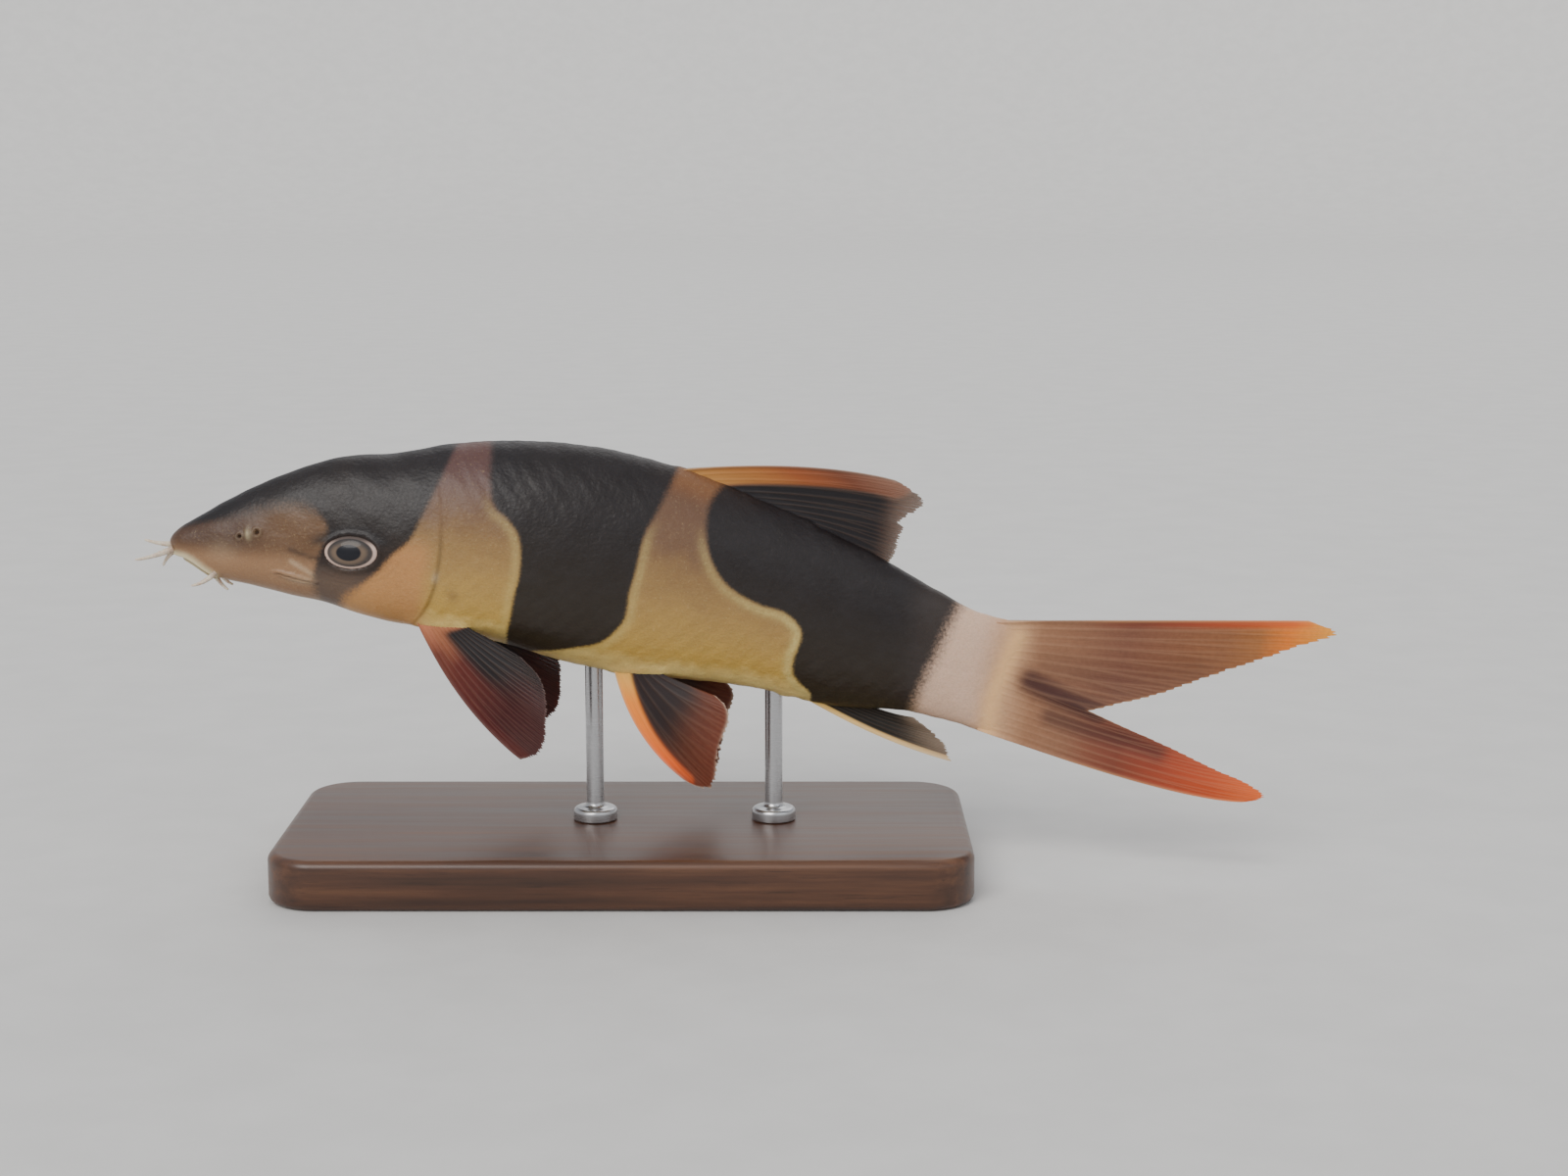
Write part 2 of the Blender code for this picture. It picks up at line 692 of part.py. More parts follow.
def pectoral(side):
    """The pectoral fin, spread down and back from behind the gill cover."""
    return {
        "base": ((46.4, side * 6.6, -6.2), (54.6, side * 7.8, -5.2)),
        "margin": (
            (68.4, side * 14.5, -26.0),
            (71.6, side * 15.3, -24.4),
            (72.6, side * 15.6, -21.2),
            (72.4, side * 15.4, -18.0),
            (71.8, side * 14.9, -14.6),
            (69.8, side * 14.0, -11.0),
            (65.8, side * 12.6, -8.2),
        ),
        "bow": ((-2.0, side * 0.6, -3.1), (0.4, side * 0.6, 0.3)),
        "rays": 13,
        "rows": 9,
        "cup": 0.9 * side,
    }


def pelvic(side):
    """The pelvic fin, spread down and back under the belly."""
    return {
        "base": ((82.0, side * 3.6, -9.2), (89.8, side * 4.6, -8.7)),
        "margin": (
            (98.2, side * 8.0, -26.9),
            (100.8, side * 8.3, -27.5),
            (103.2, side * 8.6, -27.0),
            (103.7, side * 8.9, -24.4),
            (103.5, side * 9.1, -20.8),
            (103.8, side * 9.2, -17.2),
            (104.2, side * 9.2, -14.2),
            (103.3, side * 8.7, -12.0),
            (101.0, side * 7.6, -10.6),
        ),
        "bow": ((-3.4, side * 0.6, -3.15), (0.4, side * 0.3, -0.2)),
        "rays": 8,
        "rows": 9,
        "cup": 0.7 * side,
    }


def make_fins(body):
    """Every fin, its root cut to the skin that it grows from."""
    for name, fin in fins().items():
        finish = "fin_orange" if name.startswith("caudal") else "fin_dark"
        made = fin_solid(name, fin, finish)
        if fin.get("sink", ROOT_SINK) > 0:
            cut_to(made, body)


def swing(obj):
    """Bends the body sideways, as in swimming, along a smooth curve of the spine."""
    step = 0.5
    x = np.arange(-20.0, 240.0, step)
    heading = np.radians(smooth_table(HEADINGS, x)[:, 0])
    spine_x = np.cumsum(np.cos(heading) * step)
    spine_y = np.cumsum(np.sin(heading) * step)
    still = np.abs(x - HEADINGS[2, 0]).argmin()
    spine_x += x[still] - spine_x[still]
    spine_y -= spine_y[still]
    points = np.array([v.co for v in obj.data.vertices]) / MM
    turn = np.interp(points[:, 0], x, heading)
    middle_x = np.interp(points[:, 0], x, spine_x)
    middle_y = np.interp(points[:, 0], x, spine_y)
    swung = np.stack(
        [
            middle_x - points[:, 1] * np.sin(turn),
            middle_y + points[:, 1] * np.cos(turn),
            points[:, 2],
        ],
        -1,
    )
    obj.data.vertices.foreach_set("co", (swung * MM).ravel())
    obj.data.update()


def pose_matrix():
    """Pitches the fish head up, sets its middle over the base and lifts its lowest fin clear."""
    turn = Matrix.Rotation(math.radians(PITCH), 4, "Y")
    centre = turn @ Vector((BASE_CENTRE_SHARE * PERCENT, 0, 0))
    lowest = min((turn @ Vector(p)).z for p in pelvic(1)["margin"])
    height = BASE_HEIGHT + FIN_CLEARANCE - lowest
    return Matrix.Translation(Vector((-centre.x, 0, height)) * MM) @ turn


def make_stand(body):
    """A flat base with rounded corners, and two rods whose tops are cut to the belly."""
    rounded_plate("stand_base", "stand_wood")
    for name, share in ROD_SHARES.items():
        foot = pose_matrix() @ (Vector((share * PERCENT, 0, 0)) * MM)
        height = foot.z / MM + 2.0
        start = BASE_HEIGHT + GAP
        levels = [start, start + ROD_FOOT_HEIGHT - 0.5, start + ROD_FOOT_HEIGHT]
        radii = [ROD_FOOT_RADIUS, ROD_FOOT_RADIUS, ROD_FOOT_RADIUS - 0.5]
        levels += [start + ROD_FOOT_HEIGHT, height]
        radii += [ROD_RADIUS, ROD_RADIUS]
        rod = turned(name, levels, radii, (foot.x / MM, foot.y / MM), "stand_steel")
        cut_to(rod, body)


def turned(name, levels, radii, centre, finish):
    """A turned upright piece with this radius at each level."""
    turns = np.arange(24) * 2 * math.pi / 24
    circle = np.stack([np.cos(turns), np.sin(turns), np.zeros(24)], -1)
    middle = np.array((*centre, 0.0))
    rings = [circle * r + middle + np.array((0, 0, h)) for r, h in zip(radii, levels)]
    start, end = middle + (0, 0, levels[0]), middle + (0, 0, levels[-1])
    points, faces = loft(np.array(rings), start, end)
    return face_outwards(make_mesh(name, points, faces, finish))


def rounded_plate(name, finish):
    """The base: a plate with round corners and eased edges."""
    outline = []
    steps = 7
    for corner in range(4):
        across = (BASE_LENGTH / 2 - BASE_CORNER) * (1 if corner in (0, 3) else -1)
        deep = (BASE_WIDTH / 2 - BASE_CORNER) * (1 if corner in (0, 1) else -1)
        for i in range(steps):
            turn = math.pi / 2 * (corner + i / (steps - 1))
            outline.append((across, deep, math.cos(turn), math.sin(turn)))
    rows = [(0.0, BASE_EDGE * 0.4), (BASE_EDGE * 0.4, 0.0)]
    rows += [(BASE_HEIGHT - BASE_EDGE, 0.0), (BASE_HEIGHT - BASE_EDGE * 0.3, BASE_EDGE * 0.3)]
    rows += [(BASE_HEIGHT, BASE_EDGE)]
    rings = []
    for height, inset in rows:
        radius = BASE_CORNER - inset
        rings.append([(x + c * radius, y + s * radius, height) for x, y, c, s in outline])
    points, faces = loft(np.array(rings), (0, 0, 0), (0, 0, BASE_HEIGHT))
    return face_outwards(make_mesh(name, points, faces, finish))


def clear_scene():
    for obj in list(bpy.data.objects):
        bpy.data.objects.remove(obj)


def main():
    clear_scene()
    cutter_stations = np.concatenate(
        [
            nose_stations(0.0, GILL_X - 0.2, HEAD_RINGS),
            np.linspace(GILL_X + 0.2, TAIL_X, TORSO_RINGS),
            np.linspace(TAIL_X, HYPURAL_X, TAIL_RINGS)[1:],
        ]
    )
    grown = body_part("grown_body", cutter_stations, None, offset=GAP, nose=True)
    combine(grown, lips(GAP), "UNION")
    make_head()
    torso = np.linspace(GILL_X + GAP / 2, TAIL_X - GAP / 2, TORSO_RINGS)
    body_part("torso", torso, "skin_body")
    tail = np.linspace(TAIL_X + GAP / 2, HYPURAL_X, TAIL_RINGS)
    body_part("tail", tail, "skin_tail")
    make_eyes()
    make_barbels(grown)
    make_fins(grown)
    pose = bpy.data.objects.new("swimming_pose", None)
    bpy.context.scene.collection.objects.link(pose)
    pose.matrix_world = pose_matrix()
    for obj in [o for o in bpy.data.objects if o.type == "MESH"]:
        swing(obj)
        obj.parent = pose
    bpy.context.view_layer.update()
    make_stand(grown)
    bpy.data.objects.remove(grown)
    for obj in bpy.data.objects:
        if obj.type == "MESH":
            face_outwards(obj)
            obj.data.shade_smooth()
            obj.data.set_sharp_from_angle(angle=math.radians(40))


main()
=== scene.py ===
"""The looks of the clown loach on its display stand.

One skin stands for head, torso and tail, each fin is a membrane with branching rays, and the eyes,
barbels and stand are finer forms of their solids. The fish is drawn in its own frame in millimetres,
with x from the snout to the tail, y to its right and z up. It is then swung with the swimming body and
pitched on the pose.
"""

import math

import bpy
import numpy as np
from mathutils import Matrix, Vector


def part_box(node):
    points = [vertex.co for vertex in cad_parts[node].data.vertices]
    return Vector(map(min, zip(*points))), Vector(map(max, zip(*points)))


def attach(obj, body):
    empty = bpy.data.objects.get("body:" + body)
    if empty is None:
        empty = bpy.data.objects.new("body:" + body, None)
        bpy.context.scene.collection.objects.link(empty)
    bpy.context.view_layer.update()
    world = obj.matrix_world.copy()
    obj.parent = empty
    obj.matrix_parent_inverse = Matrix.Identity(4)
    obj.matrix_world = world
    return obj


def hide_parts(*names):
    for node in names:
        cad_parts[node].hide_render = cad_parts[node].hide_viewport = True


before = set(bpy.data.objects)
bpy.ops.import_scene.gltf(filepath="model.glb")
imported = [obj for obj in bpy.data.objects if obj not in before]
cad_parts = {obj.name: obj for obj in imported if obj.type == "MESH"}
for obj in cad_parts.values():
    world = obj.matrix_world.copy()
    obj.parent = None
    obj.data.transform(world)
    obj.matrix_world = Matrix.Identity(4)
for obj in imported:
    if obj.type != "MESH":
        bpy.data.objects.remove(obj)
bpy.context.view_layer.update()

MM = 0.001

# Driving dimensions of the body, in millimetres, degrees and per cent of standard length
STANDARD_LENGTH = 150.0
PERCENT = STANDARD_LENGTH / 100
PITCH = 9.3
FIN_CLEARANCE = 8.0
BASE_CENTRE_SHARE = 55.0

# Distance from the snout, back, belly and half width
BODY_SECTIONS = np.array(
    [
        (0.0, 1.5, -0.6, 1.5),
        (1.5, 2.5, -1.1, 2.1),
        (6.0, 6.1, -3.0, 3.5),
        (10.7, 9.3, -3.4, 4.5),
        (15.3, 11.9, -3.8, 5.2),
        (20.0, 13.8, -4.1, 5.9),
        (24.0, 14.6, -4.8, 6.6),
        (32.0, 17.2, -5.2, 7.5),
        (40.0, 18.8, -5.5, 7.8),
        (50.0, 19.4, -6.8, 7.6),
        (58.7, 18.5, -6.8, 6.9),
        (70.0, 15.9, -6.3, 5.5),
        (81.3, 12.8, -6.7, 4.1),
        (91.3, 9.2, -6.0, 2.9),
        (96.7, 7.4, -6.4, 2.0),
        (100.8, 7.1, -7.0, 0.9),
        (103.2, 7.0, -7.0, 0.5),
        (105.6, 6.9, -6.9, 0.12),
    ]
) * PERCENT
# Distance from the snout, where up its height a section is widest, and its exponents above and below
SECTION_FORM = np.array(
    [
        (0.0, 0.42, 2.0, 2.0),
        (8.0, 0.36, 1.9, 2.5),
        (22.0, 0.38, 1.9, 2.7),
        (38.0, 0.42, 1.8, 2.5),
        (60.0, 0.46, 1.75, 2.3),
        (85.0, 0.50, 1.9, 2.0),
        (101.0, 0.50, 2.4, 2.4),
    ]
)
SECTION_FORM[:, 0] *= PERCENT
# Distance from the snout and the spine's heading in degrees
HEADINGS = np.array([(-10.0, 3.0), (30.0, 0.8), (55.0, 0.0), (80.0, -3.0), (100.0, -6.0), (145.0, -3.0)])
HEADINGS[:, 0] *= PERCENT

NOSE_RADIUS = 1.6 * PERCENT
HYPURAL_X = 100.8 * PERCENT
SKIN_END = 105.6 * PERCENT

# The gill cover's edge: how far it reaches, and how its step fades away from it
GILL_X = 30.7 * PERCENT
GILL_BACK = 1.8 * PERCENT
GILL_FORWARD = 2.4 * PERCENT
GILL_REACH = 8.0 * PERCENT
GILL_STEP = 0.55
OPERCLE_LIFT = 0.3
STEP_FADE = 2.0 * PERCENT
LIFT_FADE = 3.0 * PERCENT
VENT_X = 113.0
LATERAL_LINE = ((46.0, 9.0), (70.0, 7.0), (100.0, 4.0), (125.0, 1.6), (152.0, 0.2))

# Along the tail stalk: where its colours start, where its rings hollow round the tail fin's base, and
# where the skin tapers until it ends between the fin's faces
STALK_START = 130.0
TAIL_SKIN_START = 144.0
HOLLOW_START = 146.0
HOLLOW_FADE = 12.0
HOLLOW_DEPTH = 4.0
TAPER_START = 154.0
TAPER_FADE = 4.4
TAPER_SHARE = 0.8
RELIEF_FADE = 8.0

# Head, in millimetres where it isn't said otherwise
EYE_X = 22.1 * PERCENT
EYE_Z = 3.3 * PERCENT
EYE_TILT = 9.0
EYEBALL = (6.6, 3.9, 3.6)
EYE_SUNK = 2.45
RIM_LONG = 5.15
RIM_SHORT = 3.2
PUPIL = (2.3, 1.45)
# Each nostril's place in per cent of standard length, and its radius
NOSTRILS = ((8.6, 2.75, 0.55), (10.6, 3.6, 0.7))
FLAP_TILT = 24.0
LIP_FRONT = 1.3
LIP_CORNER_X = 9.3
LIP_CORNER_Y = 3.7
LOWER_LIP_SETBACK = 1.9
LIP_NARROWING = 0.35
SPINE_FOLD = {"x": 23.8, "z": -1.2, "long": 4.6, "high": 0.75, "tilt": -4.0}
# The cheek's pale line is a painted highlight along its fold, and its groove a line of painted shade
CHEEK_LINE = ((22.8, 1.5), (25.4, 0.5), (28.0, -0.6))
CHEEK_GROOVE = ((22.3, 3.5), (25.7, 2.9), (29.1, 2.7))
# Pale spots: place, half length, half height and strength; the one on the fold over the spine is a painted
# highlight
CHEEK_SPOTS = ((10.2, 1.2, 3.0, 2.2, 0.15), (25.6, -1.6, 3.4, 0.9, 0.4), (48.7, 3.2, 0.55, 1.0, 0.5))
GILL_SMUDGE = (52.1, 0.4)
BARBEL_TIP_RADIUS = 0.25
# Each barbel's root, bow, tip and root radius
BARBELS = {
    "barbel_rostral_outer_left": ((0.9, -1.5, -0.8), (0.0, -0.4, -0.5), (-5.2, -3.6, -3.4), 0.65),
    "barbel_rostral_outer_right": ((0.9, 1.5, -0.4), (0.0, 0.4, -0.6), (-5.2, 3.7, -0.9), 0.65),
    "barbel_rostral_inner_left": ((1.3, -0.6, -1.0), (-0.6, -0.2, 0.2), (-0.5, -1.1, -4.2), 0.55),
    "barbel_rostral_inner_right": ((1.3, 0.6, -0.9), (-0.4, 0.2, 0.2), (-2.6, 1.3, -2.9), 0.55),
    "barbel_maxillary_left": ((9.3, -4.0, -3.3), (0.3, -0.2, -0.9), (5.5, -5.4, -6.1), 0.6),
    "barbel_maxillary_right": ((9.3, 4.0, -3.3), (0.6, 0.6, -0.6), (7.6, 7.4, -6.4), 0.6),
    "barbel_mandibular_left": ((8.3, -1.5, -3.7), (0.3, 0.0, -0.9), (11.7, -2.6, -6.4), 0.55),
    "barbel_mandibular_right": ((8.3, 1.5, -3.7), (0.3, 0.0, -0.9), (11.7, 2.6, -6.4), 0.55),
}

# Skin mesh: how far apart its rings are up to each distance from the snout
RING_SPACING = ((1.0, 0.08), (20.0, 0.2), (40.0, 0.25), (52.0, 0.3), (150.0, 0.6), (SKIN_END, 0.45))
AROUND = 236

# Fins, in millimetres
ROOT_SINK = 3.0
MEMBRANE_HALF = 0.16
RAY_HALF = 0.075
LEADING_HALF = 0.36
MARGIN_HALF = 0.05
ROOT_HALF = 0.55
ROOT_SPREAD = 7.0
FIN_WAVE = 0.35
# How much of its thickness a fin loses on its way out, and then at its edge
FIN_THINNING = 0.55
EDGE_THINNING = 0.65
# The fins' meshes, and how far the membrane falls short between rays as a share of their length
SMALL_FIN_MESH = {"columns_per_ray": 24, "rows": 72, "fringe": 0.012}
CAUDAL_MESH = {"columns_per_ray": 22, "rows": 100, "fringe": 0.02}
# How deep the margin of each fin is worn, as a share of its rays' length
FIN_WEAR = {"dorsal": 0.03, "anal": 0.04, "pectoral": 0.015, "pelvic": 0.025, "caudal": 0.014}

# The stand, in millimetres
BASE_CORNER = 9.0
BASE_EASE = 1.6
ROD_RADIUS = 1.6
FLANGE_EASE = 0.25
FLANGE_EDGE = 1.5
FLANGE_ROUND = 0.9
FILLET = 1.0
FILLET_FOOT = 2.4
ROD_SINK = 0.6

# The studio floor, in millimetres
FLOOR_FLAT = 2600.0
FLOOR_SWEEP = 900.0

# The camera, in millimetres and degrees
CAMERA_AIM = (28.53, 0.0, 51.87)
CAMERA_DISTANCE = 470.88
CAMERA_ELEVATION = 10.0
CAMERA_LENS = 60.0
CAMERA_SENSOR = 36.0

# The dark bands, as they lie on the flank: distance from the snout and height
HEAD_BAND = (
    (-2.0, 2.6), (1.6, 3.2), (5.5, 4.8), (9.7, 6.5), (14.7, 8.7), (19.9, 10.5), (24.4, 11.0),
    (27.5, 9.5), (28.5, 7.2), (27.6, 4.0), (27.0, -0.8), (27.6, -3.8), (28.6, -7.0), (31.6, -7.0),
    (33.0, -3.6), (34.9, -1.4), (38.2, 2.2), (40.6, 5.8), (43.2, 8.8), (44.7, 13.3), (46.5, 19.0),
    (47.8, 24.0), (49.0, 28.0), (51.0, 36.0), (-2.0, 36.0),
)
FLANK_BAND = (
    (54.1, 36.0), (54.6, 26.0), (56.5, 18.0), (59.6, 15.5), (61.8, 13.3), (62.9, 10.2), (63.2, 6.0),
    (62.8, 1.9), (62.6, -2.4), (62.3, -5.4), (62.6, -9.5), (65.0, -9.6), (67.5, -8.3), (71.2, -7.1),
    (75.2, -5.7), (79.1, -4.0), (81.4, -1.4), (82.8, 1.6), (82.8, 5.6), (83.3, 9.8), (83.8, 16.2),
    (85.3, 20.1), (87.1, 25.3), (87.9, 29.0), (88.4, 36.0),
)
TAIL_BAND = (
    (120.8, 30.2), (103.5, 28.2), (97.2, 26.8), (94.8, 24.3), (94.2, 21.1), (94.9, 17.1), (96.6, 13.3),
    (99.4, 10.1), (102.9, 8.2), (106.7, 7.0), (110.4, 6.5), (112.9, 5.1), (114.4, 3.1), (114.2, 0.2),
    (113.7, -2.1), (114.1, -4.8), (115.8, -6.8), (117.8, -8.6), (119.0, -14.0), (135.0, -14.0),
    (136.4, -9.0), (136.9, -6.0), (138.0, -1.0), (139.2, 3.1), (140.4, 8.0), (141.4, 11.1), (142.5, 16.0),
    (138.0, 30.0),
)

# Colours as red, green and blue out of 255
COLOURS = {
    # The belly's own pale gold, brightened further as painted light from below
    "belly": (250, 222, 142),
    "low": (192, 156, 78),
    "flank": (158, 126, 76),
    "high": (112, 84, 62),
    "back": (98, 70, 54),
    "snout": (68, 47, 38),
    "brow": (96, 70, 48),
    "cheek": (150, 115, 84),
    "opercle": (184, 132, 82),
    "shoulder": (84, 58, 57),
    "crest": (128, 86, 52),
    "stalk": (214, 180, 156),
    "band": (19, 17, 20),
    "band_light": (28, 26, 29),
    "band_brown": (100, 82, 70),
    "band_edge": (204, 186, 118),
    "painted_shade": (24, 21, 24),
    # Painted shadow over each eye, also used for a darker patch on the nape
    "lip": (214, 202, 164),
    "pale": (206, 184, 152),
    # Painted shade for creases, pits, the mouth line and the eyeball's edge
    "crease_shadow": (46, 32, 27),
    "maroon": (68, 39, 36),
    "eye_ring": (206, 178, 164),
    "iris": (62, 56, 54),
    "iris_inner": (112, 94, 78),
    "pupil": (12, 14, 24),
    "barbel": (222, 210, 190),
    "fin_gold": (236, 188, 128),
    "grain": (84, 54, 34),
    "speck": (216, 190, 140),
    "band_speck": (62, 56, 55),
    "iris_speck": (84, 74, 68),
    # Painted shadow over the top of the iris
    "iris_above": (30, 27, 29),
    "barbel_patch": (172, 138, 116),
    "barbel_root": (140, 104, 78),
    "fin_patch": (200, 188, 182),
    "fin_deep": (150, 126, 116),
    "fin_pale": (210, 164, 134),
    "ray": (178, 138, 108),
    "wood_deep": (44, 26, 17),
    "wood": (74, 45, 29),
    "wood_light": (104, 68, 44),
    "wood_pore": (26, 15, 10),
    "steel": (188, 188, 190),
    "floor": (208, 207, 205),
    "floor_light": (213, 212, 210),
}

# The tail fin's colour by the share of the way from the stalk to the tips, in skin and fin alike
TAIL_FIRST = 146.0
TAIL_LAST = 208.0
TAIL_STOPS = (
    (0.0, (206, 168, 142)), (0.09, (198, 156, 120)), (0.18, (152, 110, 82)), (0.42, (122, 80, 62)),
    (0.7, (142, 92, 60)), (0.79, (164, 104, 56)), (0.87, (234, 126, 30)), (1.0, (250, 168, 56)),
)
# The pale line along the tail fin's base, and the maroon stains: path, half width and strength
TAIL_BASE_LINE = ((152.8, 0, 8.0), (151.2, 0, 1.8), (150.0, 0, -3.8), (150.2, 0, -9.5))
TAIL_STAINS = (
    (((156.5, 0, 0.4), (162.0, 0, -1.4), (169.0, 0, -3.2)), 3.0, 0.85),
    (((161.0, 0, -5.4), (169.0, 0, -6.6), (176.0, 0, -7.2), (181.0, 0, -8.4)), 2.6, 0.62),
    (((159.0, 0, 3.0), (173.0, 0, 2.4), (185.0, 0, 5.8)), 4.8, 0.4),
)

# Each fin's body by the share of the way out, its dark part, its leading part by that share, and its rim
FIN_COLOURS = {
    "dorsal": (
        ((0.0, (140, 92, 58)), (0.6, (112, 78, 58)), (1.0, (138, 116, 102))),
        (28, 25, 28),
        (
            (0.0, (172, 122, 62)), (0.25, (164, 104, 52)), (0.42, (146, 78, 40)),
            (0.65, (112, 62, 42)), (1.0, (144, 108, 90)),
        ),
        (182, 168, 152),
    ),
    "anal": (
        ((0.0, (96, 78, 54)), (0.5, (88, 74, 58)), (1.0, (122, 106, 90))),
        (32, 29, 26),
        ((0.0, (236, 196, 110)), (0.5, (226, 188, 122)), (1.0, (206, 176, 134))),
        (196, 182, 160),
    ),
    "pectoral": (
        ((0.0, (176, 112, 76)), (0.3, (92, 34, 26)), (0.7, (62, 16, 18)), (1.0, (66, 34, 36))),
        (18, 12, 16),
        (
            (0.0, (192, 122, 88)), (0.2, (104, 50, 36)), (0.42, (86, 31, 25)),
            (0.7, (72, 18, 18)), (1.0, (80, 34, 32)),
        ),
        (128, 104, 98),
    ),
    "pelvic": (
        ((0.0, (70, 50, 42)), (0.5, (78, 46, 34)), (1.0, (112, 54, 36))),
        (40, 30, 31),
        ((0.0, (240, 190, 96)), (0.25, (248, 144, 50)), (0.75, (240, 100, 30)), (1.0, (160, 64, 34))),
        (206, 186, 164),
    ),
    "caudal": (
        TAIL_STOPS,
        COLOURS["maroon"],
        (
            (0.0, (196, 158, 122)), (0.25, (134, 84, 62)), (0.45, (118, 58, 42)), (0.6, (156, 62, 36)),
            (0.74, (188, 72, 30)), (0.88, (226, 96, 30)), (1.0, (248, 158, 52)),
        ),
        (232, 176, 118),
    ),
}


def linear(colour):
    """A colour for a shader socket, from its name or its red, green and blue out of 255."""
    shares = [c / 255 for c in (COLOURS[colour] if isinstance(colour, str) else colour)]
    return (*[s / 12.92 if s <= 0.04045 else ((s + 0.055) / 1.055) ** 2.4 for s in shares], 1.0)


def smooth_table(table, x):
    """Each column of the table after the first, at every x, by cubic pieces that keep its slopes."""
    at = np.clip(np.asarray(x, float), table[0, 0], table[-1, 0])
    step = np.diff(table[:, 0])[:, None]
    rise = np.diff(table[:, 1:], axis=0) / step
    slope = np.zeros_like(table[:, 1:])
    slope[0], slope[-1] = rise[0], rise[-1]
    before, after = step[:-1], step[1:]
    slope[1:-1] = (rise[:-1] * after + rise[1:] * before) / (before + after)
    i = np.clip(np.searchsorted(table[:, 0], at, side="right") - 1, 0, len(table) - 2)
    width = step[i]
    t = ((at - table[i, 0]) / step[i, 0])[..., None]
    start, end = table[i, 1:], table[i + 1, 1:]
    return (
        (1 + 2 * t) * (1 - t) ** 2 * start
        + t * (1 - t) ** 2 * width * slope[i]
        + t * t * (3 - 2 * t) * end
        + t * t * (t - 1) * width * slope[i + 1]
    )


def smoothstep(t):
    """Nought below nought and one above one, with a smooth rise between them."""
    t = np.clip(t, 0.0, 1.0)
    return t * t * (3 - 2 * t)


def bell(t):
    """One at nought, falling off to both sides."""
    return np.exp(-np.square(t))


def window(x, start, end, fade):
    """One between start and end, fading to zero over fade outside them."""
    return smoothstep((x - start + fade) / fade) * smoothstep((end + fade - x) / fade)


def section(x):
    """Back, belly, half width, widest height and the section's two exponents at x."""
    back, belly, half = np.moveaxis(smooth_table(BODY_SECTIONS, x), -1, 0)
    share, upper, lower = np.moveaxis(smooth_table(SECTION_FORM, x), -1, 0)
    ahead = 1 - np.clip(np.asarray(x, float) / NOSE_RADIUS, 0, 1)
    nose = np.sqrt(np.maximum(1 - ahead**2, 0))
    widest = belly + share * (back - belly)
    return (
        widest + (back - widest) * nose,
        widest + (belly - widest) * nose,
        half * nose,
        widest,
        upper,
        lower,
    )


def back_height(x):
    return float(section(x)[0])


def belly_height(x):
    return float(section(x)[1])


def gill_line(side):
    """Where the gill cover ends: furthest back on the flank, further forward over the nape."""
    return GILL_X - GILL_FORWARD + (GILL_FORWARD + GILL_BACK) * side**1.3


def skin_points(x, angle):
    """Points of the bare skin at x and at an angle from the back."""
    back, belly, half, widest, upper, lower = section(x)
    c, s = np.cos(angle), np.sin(angle)
    power = np.where(c >= 0, 2 / upper, 2 / lower)
    reach = np.where(c >= 0, back - widest, widest - belly)
    y = half * np.sign(s) * np.abs(s) ** power
    z = widest + reach * np.sign(c) * np.abs(c) ** power
    return np.stack([np.broadcast_to(x, y.shape), y, z], -1)


def flank(x, z, side):
    """The point of the skin at x and z on one side: side is -1 on the left and 1 on the right."""
    back, belly, half, widest, upper, lower = (float(v) for v in section(x))
    power, reach = (upper, back - widest) if z >= widest else (lower, widest - belly)
    share = min(abs(z - widest) / reach, 1.0)
    return Vector((x, side * half * (1 - share**power) ** (1 / power), z))


def flank_frame(x, z, side, tilt=0.0):
    """A matrix at that point with its own x along the fish, y up the flank and z out of it."""
    small = 0.2
    point = flank(x, z, side)
    along = (flank(x + small, z, side) - flank(x - small, z, side)).normalized()
    up = (flank(x, z + small, side) - flank(x, z - small, side)).normalized()
    out = along.cross(up).normalized()
    if out.y * side < 0:
        out.negate()
    along = (along * math.cos(math.radians(tilt)) + up * math.sin(math.radians(tilt))).normalized()
    up = out.cross(along)
    return Matrix.Translation(point) @ Matrix((along, up, out)).transposed().to_4x4()


def underside(x, y):
    """The height of the skin under the body at x and y."""
    _, belly, half, widest, _, lower = (float(v) for v in section(x))
    share = min(abs(y) / half, 1.0)
    return widest - (widest - belly) * (1 - share**lower) ** (1 / lower)


def in_frame(points, matrix):
    """The points in a frame's own axes with y upwards, far away where they lie on the other side."""
    inverse = np.array(matrix.inverted())
    local = points @ inverse[:3, :3].T + inverse[:3, 3]
    local[..., 1] *= math.copysign(1.0, matrix[2][1])
    deepest, far = -5.0, 1e3
    local[local[..., 2] < deepest] = far
    return local


def away_from(points, path):
    """The distance of each point from a path of straight pieces."""
    path = np.asarray(path, float)
    nearest = np.full(points.shape[:-1], np.inf)
    for start, end in zip(path[:-1], path[1:]):
        piece = end - start
        share = np.clip((points - start) @ piece / (piece @ piece), 0, 1)
        nearest = np.minimum(nearest, np.linalg.norm(points - start - share[..., None] * piece, axis=-1))
    return nearest


def rounded(outline, cuts=5):
    """A closed outline with its corners rounded, by a curve through its points."""
    points = np.array(outline, float)
    before, after = np.roll(points, 1, 0), np.roll(points, -1, 0)
    beyond = np.roll(points, -2, 0)
    pieces = []
    for t in np.arange(cuts) / cuts:
        bent = (2 * before - 5 * points + 4 * after - beyond) * t * t
        twice_bent = (3 * points - before - 3 * after + beyond) * t**3
        pieces.append(0.5 * (2 * points + (after - before) * t + bent + twice_bent))
    return np.stack(pieces, 1).reshape(-1, 2)


